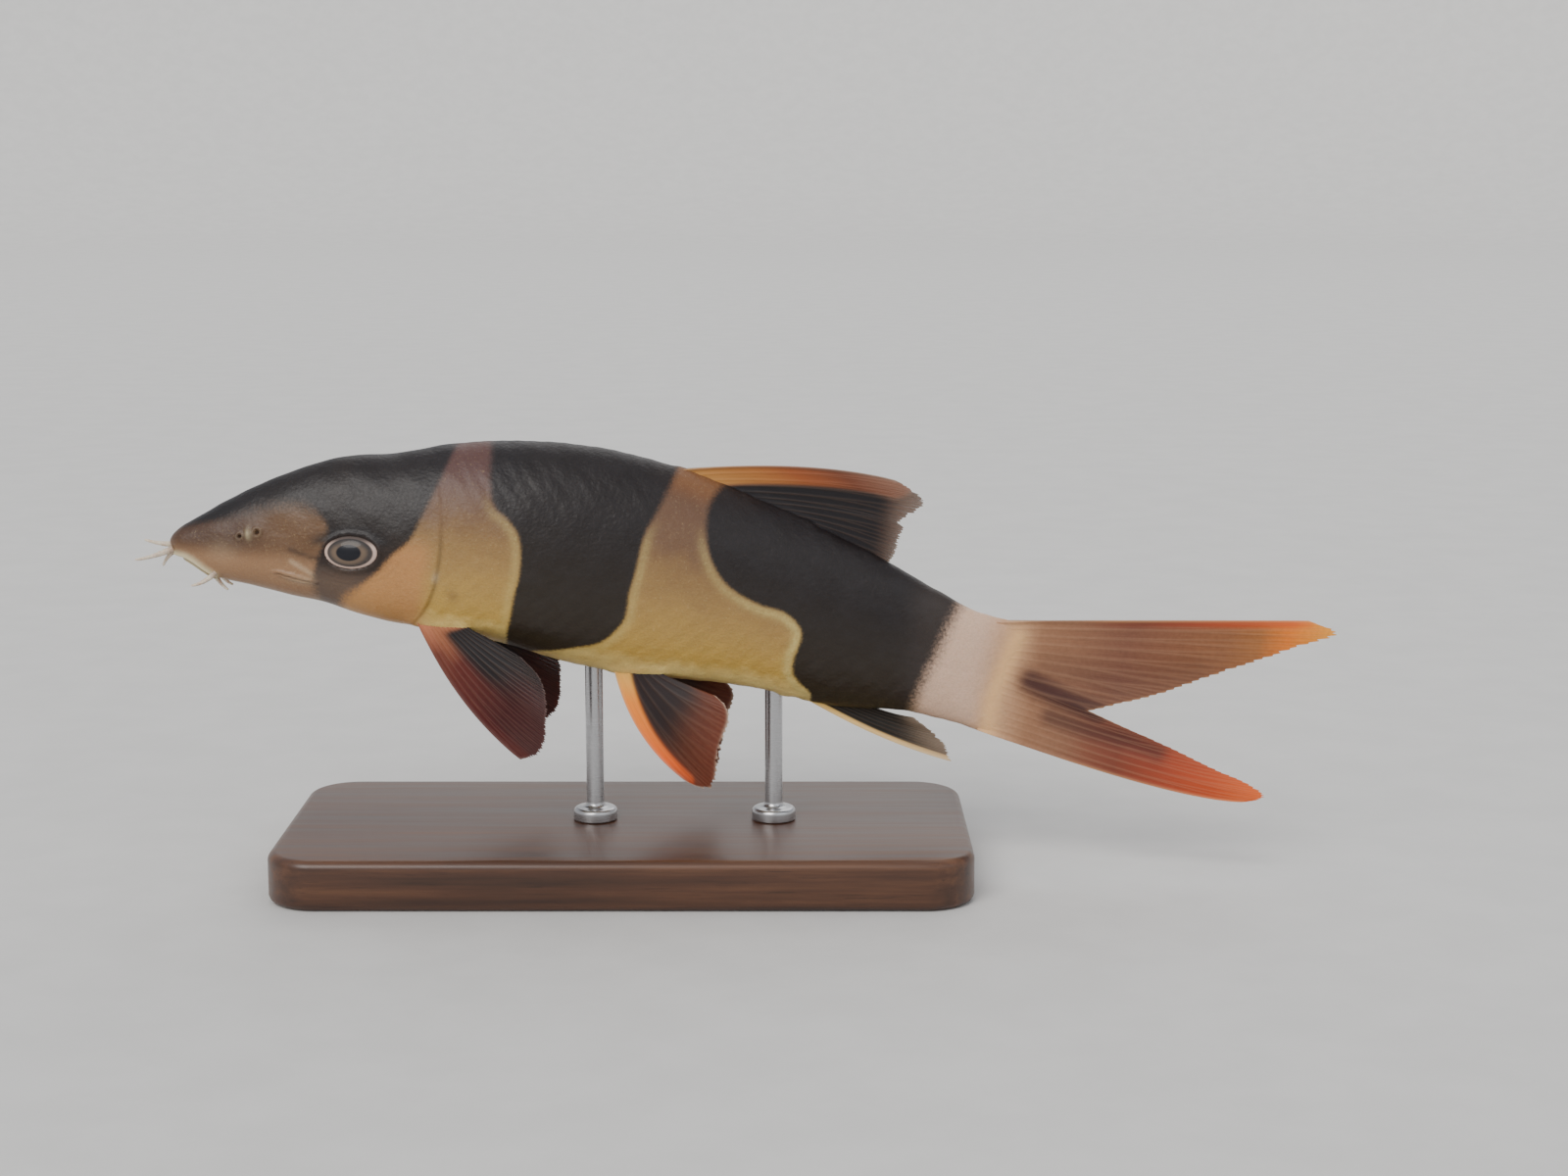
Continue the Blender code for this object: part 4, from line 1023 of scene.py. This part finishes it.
def make_skin():
    """The one skin of head, body and tail stalk."""
    stations, angle, points = skin_grid()
    x, z = points[..., 0], points[..., 2]
    mouth, lip, mouth_line = mouth_relief(points)
    eye, eye_crease, smudge, painted_shade = eye_relief(points)
    nostril, nostril_pit, nostril_rim = nostril_relief(points)
    spine, slit = spine_relief(points)
    gill, gill_crease = gill_relief(x, z, angle)
    pale, groove, gill_smudge = cheek_marks(points)
    height = mouth + eye + nostril + spine + gill + flank_relief(points) + fin_root_relief(points)
    height *= smoothstep((SKIN_END - stations) / RELIEF_FADE) * smoothstep(x / 0.4)
    shaped = pushed_out(points, height)

    nape_shade = 0.4 * bell(np.hypot((x - 44) / 1.8, (z - 17) / 2.8))
    # Painted shade in the mouth line, round the eye, in the nostrils' pits, the spine's slit, behind the gill
    # cover and along the cheek's groove
    crease_shadows = mouth_line + eye_crease + nostril_pit + slit + gill_crease + groove
    weights = skin_weights(points)
    weights["dark"] = np.maximum(weights["dark"], 0.6 * smudge * smoothstep((x - 25) / 6))
    weights["maroon"] = np.maximum(weights["maroon"], gill_smudge)
    # Pale marks of the cheek and snout, partly painted highlight
    weights["pale"] = np.clip(pale, 0, 0.7)
    # Painted shadow above each eye, with a darker patch on the nape in the same colour
    weights["painted_shade"] = np.clip(painted_shade + nape_shade, 0, 0.8)
    weights["lip"] = np.clip(lip + nostril_rim, 0, 0.95)
    weights["crease_shadow"] = np.clip(crease_shadows, 0, 0.95)

    nose = (0.0, 0.0, float(section(0.0)[3]))
    tip = (shaped[-1, AROUND // 4] + shaped[-1, 3 * AROUND // 4]) / 2
    vertices = np.concatenate([shaped.reshape(-1, 3), [nose, tip]])
    for key, values in weights.items():
        values = values.reshape(shaped.size // 3, -1)
        weights[key] = np.concatenate([values, values[:1], values[-1:]]).squeeze()
    faces = tube_faces(len(stations), AROUND)
    skin = mesh_from("fish_skin", posed(vertices), faces, skin_material(), weights)
    outwards(skin)
    settle(skin, "skin_body", "head", "torso", "tail")


def outwards(obj):
    """Turns every face of a closed mesh outwards."""
    mesh = obj.data
    mesh.calc_loop_triangles()
    corners = np.empty(len(mesh.loop_triangles) * 3, np.int32)
    mesh.loop_triangles.foreach_get("vertices", corners)
    points = np.empty(len(mesh.vertices) * 3)
    mesh.vertices.foreach_get("co", points)
    a, b, c = np.moveaxis(points.reshape(-1, 3)[corners.reshape(-1, 3)], 1, 0)
    if np.einsum("ij,ij->i", a, np.cross(b, c)).sum() < 0:
        mesh.flip_normals()


def settle(obj, slot, *nodes):
    """The piece rides on the body and stands for these nodes; the slot is not used."""
    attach(obj, "root")
    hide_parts(*nodes)


def make_eyes():
    """Each eyeball, with how far each point lies from the middle of the eye and of the pupil."""
    finish = eye_material()
    turns, levels = 96, 49
    for side, name in ((-1, "left"), (1, "right")):
        matrix = np.array(eye_frame(side))
        up = np.linspace(0, math.pi, levels)[1:-1]
        turn = round_angles(turns)
        local = np.stack(
            [
                np.sin(up)[:, None] * np.cos(turn)[None, :] * EYEBALL[0],
                np.sin(up)[:, None] * np.sin(turn)[None, :] * EYEBALL[1],
                np.broadcast_to(np.cos(up)[:, None] * EYEBALL[2], (levels - 2, turns)),
            ],
            -1,
        ).reshape(-1, 3)
        local = np.concatenate([local, [(0, 0, EYEBALL[2]), (0, 0, -EYEBALL[2])]])
        open_share = math.sqrt(1 - (EYE_SUNK / EYEBALL[2]) ** 2)
        radial = np.hypot(local[:, 0] / EYEBALL[0], local[:, 1] / EYEBALL[1]) / open_share
        weights = {
            "radial": np.where(local[:, 2] > 0, radial, 2.0),
            "pupil": np.hypot((local[:, 0] + 0.1) / PUPIL[0], (local[:, 1] * -side - 0.05) / PUPIL[1]),
            "above": local[:, 1] * -side / (EYEBALL[1] * open_share),
            "fish": local,
        }
        placed = local @ matrix[:3, :3].T + matrix[:3, 3]
        faces = tube_faces(levels - 2, turns)
        made = mesh_from("fish_eye_" + name, posed(placed), faces, finish, weights)
        outwards(made)
        settle(made, "eye", "eye_" + name)


def mesh_from(name, points, faces, material, weights):
    """A smooth piece of points in millimetres of the scene."""
    mesh = bpy.data.meshes.new(name)
    mesh.from_pydata((np.asarray(points, float) * MM).tolist(), [], faces)
    for key, values in weights.items():
        values = np.asarray(values, float)
        kind, field = ("FLOAT_VECTOR", "vector") if values.ndim > 1 else ("FLOAT", "value")
        mesh.attributes.new(key, kind, "POINT").data.foreach_set(field, values.ravel())
    mesh.materials.append(material)
    mesh.shade_smooth()
    obj = bpy.data.objects.new(name, mesh)
    bpy.context.scene.collection.objects.link(obj)
    return obj


def make_barbels():
    """Each barbel as a fine tapering feeler with a softly wrinkled skin."""
    finish = barbel_material()
    sides, count = 16, 48
    for name, (root, bow, tip, radius) in BARBELS.items():
        root, tip = np.array(root), np.array(tip)
        bend = (root + tip) / 2 + np.array(bow)
        shares = np.linspace(0, 1, count)[:, None]
        path = root * (1 - shares) ** 2 + bend * 2 * shares * (1 - shares) + tip * shares**2
        ahead = np.gradient(path, axis=0)
        ahead /= np.linalg.norm(ahead, axis=1, keepdims=True)
        across = np.cross(ahead, (0.3, 1.0, 0.2))
        across /= np.linalg.norm(across, axis=1, keepdims=True)
        beside = np.cross(ahead, across)
        t = shares[:, 0]
        radii = (radius + (BARBEL_TIP_RADIUS * 0.8 - radius) * t**0.8) * (1 + 0.05 * np.sin(t * 61))
        radii *= np.sqrt(np.clip((1.0 - t) / 0.05, 0.02, 1))
        turn = round_angles(sides)
        circle = across[:, None] * np.cos(turn)[None, :, None] + beside[:, None] * np.sin(turn)[None, :, None]
        rings = path[:, None] + circle * radii[:, None, None]
        points = np.concatenate([rings.reshape(-1, 3), [path[0], path[-1]]])
        faces = tube_faces(count, sides)
        along = np.concatenate([np.repeat(t, sides), [0.0, 1.0]])
        made = mesh_from("fish_" + name, posed(points), faces, finish, {"fish": points, "along": along})
        outwards(made)
        settle(made, "barbel", name)


def fins():
    """Every fin's base line, margin and bow, in millimetres in the fish's frame."""
    base_x = HYPURAL_X + 0.3
    base_top = np.array((base_x, 0, back_height(HYPURAL_X)))
    base_low = np.array((base_x, 0, belly_height(HYPURAL_X)))
    middle = base_top * 0.5 + base_low * 0.5
    notch = (167.8, 0.0, -3.1)
    shapes = {
        "dorsal_fin": {
            "base": [(x, 0, back_height(x) - 0.2) for x in (88.0, 112.5)],
            "margin": (
                (126.4, 0.0, 32.0), (129.2, 0.1, 31.1), (131.8, 0.2, 29.6), (132.1, 0.3, 28.4),
                (130.6, 0.4, 26.4), (128.4, 0.6, 24.6), (129.4, 0.7, 23.9), (129.0, 0.8, 22.2),
                (128.8, 0.8, 20.6), (128.6, 0.7, 19.0), (127.8, 0.6, 17.0),
            ),
            "bow": ((3.8, 0, 3.5), (0, 0, 0.2)),
            "rays": 11,
        },
        "anal_fin": {
            "base": [(x, 0, belly_height(x) + 0.2) for x in (116.8, 128.5)],
            "margin": ((145.0, 0, -16.8), (143.6, 0.3, -14.2), (140.5, 0.4, -11.9), (137.0, 0.2, -10.0)),
            "bow": ((0, 0, -2.2), (0, 0, -0.5)),
            "rays": 8,
        },
        "caudal_fin_upper": {
            "base": (base_top, middle),
            "margin": (
                (202.8, 0, 20.0), (208.5, 0, 18.7), (203.0, 0.5, 15.5), (197.4, 0.8, 12.1),
                (191.4, 1.1, 8.7), (185.6, 1.2, 5.4), (179.8, 1.0, 2.2), (174.0, 0.6, -0.4), notch,
            ),
            "bow": ((0.0, 0, 0.2), (0, 0, -0.4)),
            "rays": 9,
        },
        "caudal_fin_lower": {
            "base": (middle, base_low),
            "margin": (
                notch, (174.4, 0.6, -4.9), (181.0, 1.0, -6.6), (187.0, 1.2, -8.3), (192.6, 1.0, -9.8),
                (197.6, 0.6, -11.0), (201.2, 0.2, -12.5), (200.4, 0, -13.6), (197.7, 0, -14.5),
            ),
            "bow": ((0, 0, -0.4), (11.4, 0, -3.8)),
            "rays": 9,
        },
    }
    for side, word in ((-1, "left"), (1, "right")):
        shapes["pectoral_fin_" + word] = pectoral(side)
        shapes["pelvic_fin_" + word] = pelvic(side)
    return shapes


def sided(points, side):
    """Points of the right side, or their mirror image on the left."""
    return [(x, side * y, z) for x, y, z in points]


def pectoral(side):
    """The pectoral fin, spread down and back from behind the gill cover."""
    margin = (
        (68.4, 14.5, -26.0), (71.6, 15.3, -24.4), (72.6, 15.6, -21.2), (72.4, 15.4, -18.0),
        (71.8, 14.9, -14.6), (69.8, 14.0, -11.0), (65.8, 12.6, -8.2),
    )
    return {
        "base": sided(((46.4, 6.6, -6.2), (54.6, 7.8, -5.2)), side),
        "margin": sided(margin, side),
        "bow": sided(((-2.0, 0.6, -3.1), (0.4, 0.6, 0.3)), side),
        "rays": 13,
        "cup": 0.9 * side,
    }


def pelvic(side):
    """The pelvic fin, spread down and back under the belly."""
    margin = (
        (98.2, 8.0, -26.9), (100.8, 8.3, -27.5), (103.2, 8.6, -27.0), (103.7, 8.9, -24.4),
        (103.5, 9.1, -20.8), (103.8, 9.2, -17.2), (104.2, 9.2, -14.2), (103.3, 8.7, -12.0),
        (101.0, 7.6, -10.6),
    )
    return {
        "base": sided(((82.0, 3.6, -9.2), (89.8, 4.6, -8.7)), side),
        "margin": sided(margin, side),
        "bow": sided(((-3.4, 0.6, -3.15), (0.4, 0.3, -0.2)), side),
        "rays": 8,
        "cup": 0.7 * side,
    }


def fin_middle(fin, u, v):
    """The middle of a fin: u runs along its rays, less than nought inside the body, and v across them."""
    start, end = (np.array(p, float) for p in fin["base"])
    root = start + (end - start) * v[:, None]
    margin = np.array(fin["margin"], float)
    tip = smooth_table(np.column_stack([np.linspace(0, 1, len(margin)), margin]), v)
    bow = np.array(fin["bow"][0]) * (1 - v[:, None]) + np.array(fin["bow"][1]) * v[:, None]
    bend = (root + tip) / 2 + bow
    inwards = (root - bend) / np.linalg.norm(root - bend, axis=1, keepdims=True)
    t = np.clip(u, 0, None)[..., None]
    inside = np.clip(-u, 0, None)[..., None] * ROOT_SINK
    return root * (1 - t) ** 2 + bend * 2 * t * (1 - t) + tip * t * t + inwards * inside


def ray_relief(u, v, rays, lead):
    """How much of a ray each place has: every ray but the leading one branches twice on its way out."""
    pitch = 1 / (rays - 1)
    index = np.round(v / pitch)
    beside = np.abs(v - index * pitch)
    plain = index == lead * (rays - 1)
    first = 0.36 + 0.07 * np.sin(index * 2.3)
    second = 0.68 + 0.06 * np.sin(index * 1.7 + 1.0)
    apart = pitch / 4 * smoothstep((u - first) / 0.5) * ~plain
    apart_again = pitch / 8 * smoothstep((u - second) / 0.3) * ~plain
    distance = np.abs(np.abs(beside - apart) - apart_again)
    width = pitch * np.where(plain, 0.3, 0.18 - 0.1 * smoothstep(u))
    return bell(distance / width), plain


def ragged(v, seed, count, depth):
    """How far a worn margin falls short across the fin, as a share of its rays' length."""
    draw = np.random.default_rng(seed).random(count)
    return depth * np.interp(v, np.linspace(0, 1, count), draw**2)


def fin_sheet(fin, seed, wear, columns_per_ray, rows, fringe, lead=0):
    """A fin's middle, its direction outwards and half thickness, then its rays and how u and v run in it."""
    rays = fin["rays"]
    v = np.linspace(0, 1, (rays - 1) * columns_per_ray + 1)
    rise = np.concatenate([[-1.0, -0.5], 1 - (1 - np.linspace(0, 1, rows)) ** 1.25])
    edge_rays, _ = ray_relief(np.ones_like(v), v, rays, lead)
    at_lead = v if lead == 0 else 1 - v
    reach = 1 - (fringe * (1 - edge_rays) + ragged(v, seed, 6 * rays, wear)) * smoothstep(at_lead / 0.12)
    u = np.where(rise[:, None] > 0, rise[:, None] * reach[None, :], rise[:, None])
    middle = fin_middle(fin, u, v)
    out = np.cross(np.gradient(middle, axis=1), np.gradient(middle, axis=0))
    out /= np.linalg.norm(out, axis=2)[:, :, None]
    grown = np.clip(u, 0, 1)
    wave = FIN_WAVE * grown**2 * np.sin(v * 9.0 + 2.2 * grown + seed)
    offset = fin.get("cup", 0.0) * grown * np.sin(v * math.pi) + wave * np.sin(v * math.pi)
    middle = middle + out * offset[:, :, None]
    relief, plain = ray_relief(grown, np.broadcast_to(v, grown.shape), rays, lead)
    thin = 1 - FIN_THINNING * grown
    half = (MEMBRANE_HALF + np.where(plain, LEADING_HALF, RAY_HALF) * relief) * thin
    length = np.linalg.norm(np.diff(middle[2:], axis=0), axis=2).sum(0)
    half += ROOT_HALF * np.clip(1 - grown * length / ROOT_SPREAD, 0, 1) ** 2
    half *= 1 - EDGE_THINNING * smoothstep((grown - 0.93) / 0.07)
    half[-1] = MARGIN_HALF
    return middle, out, half, relief, u, np.broadcast_to(v, u.shape)


def sheet_piece(name, middle, out, half, material, weights):
    """A closed thin piece between two faces, each split into triangles alike."""
    rows, columns, _ = middle.shape
    upper, lower = middle + out * half[:, :, None], middle - out * half[:, :, None]
    quads = grid_faces(rows, columns, False)
    upper_faces = np.concatenate([quads[:, [0, 1, 2]], quads[:, [0, 2, 3]]])
    below = rows * columns
    lower_faces = upper_faces[:, ::-1] + below
    edge = list(range(columns))
    edge += [i * columns + columns - 1 for i in range(1, rows)]
    edge += [(rows - 1) * columns + j for j in range(columns - 2, -1, -1)]
    edge += [i * columns for i in range(rows - 2, 0, -1)]
    edge = np.array(edge)
    after = np.roll(edge, -1)
    sides = np.concatenate(
        [np.stack([after, edge, edge + below], -1), np.stack([after, edge + below, after + below], -1)]
    )
    faces = np.concatenate([upper_faces, lower_faces, sides]).tolist()
    points = np.concatenate([upper.reshape(-1, 3), lower.reshape(-1, 3)])
    doubled = {}
    for key, values in weights.items():
        values = np.asarray(values, float)
        values = values.reshape(-1, 3) if values.ndim == 3 else values.ravel()
        doubled[key] = np.concatenate([values, values])
    made = mesh_from(name, posed(points), faces, material, doubled)
    outwards(made)
    return made


def fin_weights(fin_name, middle, relief, u, v, lead=0):
    """The colour weights of a fin's points, by where they lie."""
    x, z = middle[..., 0], middle[..., 2]
    from_lead = away_from(middle, middle[2:, 0 if lead == 0 else -1])
    length = np.linalg.norm(middle[-1] - middle[2], axis=-1)
    from_margin = (1 - u) * length
    margin = 0.55 * bell(from_margin / 0.4) + 0.25 * bell(from_lead / 0.3)
    reach, rays, gold = u, 0.05, np.zeros(u.shape)
    if fin_name == "dorsal_fin":
        # The dark of the back runs on into the fin, behind its orange leading part
        dark = bands(x, np.minimum(z, 29.5))[0] * smoothstep((from_lead - 2.4) / 1.6)
        dark = dark * (1 - 0.6 * smoothstep((x - 122) / 8))
        lead_share = 1 - smoothstep((from_lead - 2.2) / 2.2)
        clear = 0.35 * smoothstep((x - 124) / 7) + 0.2 * bell(from_margin / 1.2)
    elif fin_name == "anal_fin":
        # Dark all over behind a pale leading ray
        dark = 0.95 * smoothstep((from_lead - 0.5) / 0.8) * smoothstep((1.05 - u) / 0.6)
        lead_share = 1 - smoothstep((from_lead - 0.5) / 0.8)
        clear = 0.2 * smoothstep((u - 0.5) / 0.5) * smoothstep((from_lead - 0.4) / 0.8)
    elif fin_name.startswith("pectoral"):
        # Dark near its root and along its rear rays, deep red in front and further out
        dark = smoothstep((v - 0.2) / 0.4) * smoothstep((u - 0.02) / 0.1)
        dark = dark * (1 - 0.75 * smoothstep((u - 0.42) / 0.45) * smoothstep((0.95 - v) / 0.4))
        lead_share = 1 - smoothstep((from_lead - 0.3) / 3.2)
        clear = 0.3 * smoothstep((u - 0.6) / 0.4) * smoothstep((v - 0.3) / 0.5)
    elif fin_name.startswith("pelvic"):
        # An orange leading part that narrows outwards, and a dark root behind it
        wide = 2.6 - 1.5 * u
        dark = smoothstep((from_lead - wide) / 1.6) * (1 - 0.85 * smoothstep((u - 0.3) / 0.5))
        lead_share = 1 - smoothstep((from_lead - wide + 0.8) / 2.2)
        clear = 0.12 * smoothstep((u - 0.7) / 0.3) + 0.15 * bell(from_margin / 0.5)
        margin = 0.85 * bell(from_margin / 0.45) + 0.3 * bell(from_lead / 0.3)
    else:
        # The tail fin's own shades, its stains at the fork, and orange along its outer edges
        reach, rays, gold = tail_share(x), 0.16, tail_gold(middle)
        dark = tail_stain(middle)
        edge = (1 - smoothstep(from_lead / 2.8)) * smoothstep((x - 157) / 14)
        lead_share = np.maximum(0.85 * edge, 0.8 * smoothstep((x - 157) / 16) * lead)
        clear = 0.12 * smoothstep((u - 0.5) / 0.5)
        margin = 0.35 * bell(from_margin / 0.6) + 0.3 * bell(from_lead / 0.3) * smoothstep((x - 160) / 10)
    plain_dark = 0 if fin_name.startswith("caudal") else dark
    return {
        "fish": middle,
        "spread": np.stack([u, v, np.zeros(u.shape)], -1),
        "reach": np.clip(reach, 0, 1),
        "ray": relief,
        "rays": rays * smoothstep((u - 0.02) / 0.15),
        "dark": np.clip(dark, 0, 1),
        "gold": gold,
        "lead": np.clip(lead_share, 0, 1),
        "leads": np.clip(lead_share * 1.6, 0, 1),
        "margin": np.clip(margin, 0, 0.85),
        "clear": np.clip(clear, 0, 0.8),
        "streaked": 0.55 * (1 - plain_dark) * smoothstep((u - 0.05) / 0.2),
    }


def make_caudal(shapes, material):
    """One forked tail fin through both lobes, which share the ray at the fork."""
    wear = FIN_WEAR["caudal"]
    upper = fin_sheet(shapes["caudal_fin_upper"], 4, wear, **CAUDAL_MESH)
    lower = fin_sheet(shapes["caudal_fin_lower"], 5, wear, **CAUDAL_MESH, lead=1)
    upper_weights = fin_weights("caudal_fin_upper", upper[0], *upper[3:])
    lower_weights = fin_weights("caudal_fin_lower", lower[0], *lower[3:], lead=1)
    joined = []
    for a, b in zip(upper[:3], lower[:3]):
        shared = (a[:, -1:] + b[:, :1]) / 2
        joined.append(np.concatenate([a[:, :-1], shared, b[:, 1:]], axis=1))
    weights = {}
    for key, values in upper_weights.items():
        weights[key] = np.concatenate([values, lower_weights[key][:, 1:]], axis=1)
    made = sheet_piece("fish_caudal_fin", *joined, material, weights)
    settle(made, "fin_orange", "caudal_fin_upper", "caudal_fin_lower")


def make_fins():
    """The tail fin, and each of the smaller fins."""
    shapes = fins()
    finishes = {kind: fin_material(kind + "_membrane", *look) for kind, look in FIN_COLOURS.items()}
    make_caudal(shapes, finishes["caudal"])
    for seed, (name, fin) in enumerate(shapes.items()):
        kind = name.split("_")[0]
        if kind == "caudal":
            continue
        parts = fin_sheet(fin, seed, FIN_WEAR[kind], **SMALL_FIN_MESH)
        weights = fin_weights(name, parts[0], *parts[3:])
        made = sheet_piece("fish_" + name, *parts[:3], finishes[kind], weights)
        settle(made, "fin_dark", name)


def lathe(name, profile, centre, sides, material):
    """A turned upright piece from radius and height pairs, in millimetres."""
    turn = round_angles(sides)
    circle = np.stack([np.cos(turn), np.sin(turn)], -1)
    middle = np.array(centre[:2])
    rings = [np.column_stack([circle * r + middle, np.full(sides, height)]) for r, height in profile]
    ends = [(*middle, height) for height in (profile[0][1], profile[-1][1])]
    points = np.concatenate([*rings, ends])
    made = mesh_from(name, points, tube_faces(len(profile), sides), material, {})
    outwards(made)
    return made


def make_base():
    """The wooden base with eased edges."""
    low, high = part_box("stand_base")
    length, width, top = ((high - low) / MM)[:]
    rows = [(0.0, BASE_EASE), (0.15, 0.9), (0.6, 0.25), (1.2, 0.0)]
    for turn in np.linspace(0, math.pi / 2, 8):
        rows.append((top - BASE_EASE + BASE_EASE * math.sin(turn), BASE_EASE - BASE_EASE * math.cos(turn)))
    steps = 16
    rings = []
    for height, inset in rows:
        reach = BASE_CORNER - inset
        for quarter in range(4):
            across = (length / 2 - BASE_CORNER) * (1 if quarter in (0, 3) else -1)
            deep = (width / 2 - BASE_CORNER) * (1 if quarter in (0, 1) else -1)
            for i in range(steps):
                turn = math.pi / 2 * (quarter + i / (steps - 1))
                rings.append((across + math.cos(turn) * reach, deep + math.sin(turn) * reach, height))
    around = 4 * steps
    uppermost = (len(rows) - 1) * around
    faces = grid_faces(len(rows), around, True).tolist()
    faces.append(list(range(around))[::-1])
    faces.append(list(range(uppermost, uppermost + around)))
    made = mesh_from("stand_board", rings, faces, wood_material(), {})
    outwards(made)
    keep_crisp(made)
    settle(made, "stand_wood", "stand_base")


def make_rods():
    """The two turned rods up to the belly, each with a rounded flange at its foot and a fillet above it."""
    steel = steel_material()
    base_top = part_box("stand_base")[1].z / MM
    for name in ("stand_rod_front", "stand_rod_rear"):
        low, high = (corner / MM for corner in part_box(name))
        foot = (high.x - low.x) / 2
        edge = base_top + FLANGE_EDGE
        profile = [(foot - FLANGE_EASE, base_top), (foot, base_top + FLANGE_EASE), (foot, edge)]
        for turn in np.linspace(0, math.pi / 2, 6)[1:]:
            radius = foot - FLANGE_ROUND + FLANGE_ROUND * math.cos(turn)
            profile.append((radius, edge + FLANGE_ROUND * math.sin(turn)))
        fillet_top = base_top + FILLET_FOOT + FILLET
        for turn in np.linspace(0, math.pi / 2, 7)[1:]:
            radius = ROD_RADIUS + FILLET - FILLET * math.sin(turn)
            profile.append((radius, fillet_top - FILLET * math.cos(turn)))
        profile.append((ROD_RADIUS, high.z + ROD_SINK))
        made = lathe(name.replace("stand_", "stand_steel_"), profile, (low + high) / 2, 64, steel)
        keep_crisp(made)
        settle(made, "stand_steel", name)


def keep_crisp(obj):
    """Keeps edges sharper than forty degrees crisp."""
    obj.data.set_sharp_from_angle(angle=math.radians(40))


def make_floor():
    """A pale floor whose rim sweeps up all round, far behind the object."""
    sides = 96
    profile = [(FLOOR_FLAT, 0.0)]
    for turn in np.linspace(0, math.pi / 2, 24)[1:]:
        profile.append((FLOOR_FLAT + FLOOR_SWEEP * math.sin(turn), FLOOR_SWEEP * (1 - math.cos(turn))))
    points = [(0.0, 0.0, 0.0)]
    for radius, height in profile:
        points += [(radius * math.cos(t), radius * math.sin(t), height) for t in round_angles(sides)]
    faces = [(0, 1 + j, 1 + (j + 1) % sides) for j in range(sides)]
    faces += [tuple(face) for face in (grid_faces(len(profile), sides, True)[:, ::-1] + 1).tolist()]
    s = Shader("pale_floor", roughness=0.7)
    noise = s.noise(s.place(), 60.0, 4.0, 0.6)
    s.set("Base Color", s.mix(s.between(noise, 0.3, 0.7), "floor", "floor_light"))
    mesh_from("pale_floor", np.array(points), faces, s.material, {})


def make_lights():
    """Wide soft lamps: a key above and ahead, a fill from the camera's right and one from behind."""
    world = bpy.data.worlds.new("studio")
    world.use_nodes = True
    background = world.node_tree.nodes["Background"]
    background.inputs["Color"].default_value = (0.92, 0.95, 1.0, 1.0)
    background.inputs["Strength"].default_value = 0.62
    bpy.context.scene.world = world
    lamps = (
        ("key", (-0.45, -0.8, 0.8), 35.0, 2.15, (1.0, 0.97, 0.93)),
        ("fill", (0.8, -0.7, 0.35), 60.0, 0.62, (0.95, 0.97, 1.0)),
        ("back", (0.2, 0.8, 0.9), 50.0, 0.7, (1.0, 0.98, 0.95)),
    )
    for name, place, spread, power, colour in lamps:
        data = bpy.data.lights.new(name, "SUN")
        data.angle = math.radians(spread)
        data.energy = power
        data.color = colour
        lamp = bpy.data.objects.new(name, data)
        bpy.context.scene.collection.objects.link(lamp)
        lamp.location = place
        lamp.rotation_mode = "QUATERNION"
        lamp.rotation_quaternion = (-lamp.location).to_track_quat("-Z", "Y")


def make_camera():
    """The camera at the photograph's height, distance and lens."""
    data = bpy.data.cameras.new("camera")
    data.lens = CAMERA_LENS
    data.sensor_width = CAMERA_SENSOR
    data.clip_start = 0.01
    data.clip_end = 20.0
    camera = bpy.data.objects.new("camera", data)
    bpy.context.scene.collection.objects.link(camera)
    elevation = math.radians(CAMERA_ELEVATION)
    back = Vector((0, -math.cos(elevation), math.sin(elevation)))
    camera.location = Vector(CAMERA_AIM) * MM + back * CAMERA_DISTANCE * MM
    camera.rotation_mode = "QUATERNION"
    camera.rotation_quaternion = (-back).to_track_quat("-Z", "Y")
    bpy.context.scene.camera = camera


make_camera()
make_floor()
make_lights()
make_skin()
make_eyes()
make_barbels()
make_fins()
make_base()
make_rods()
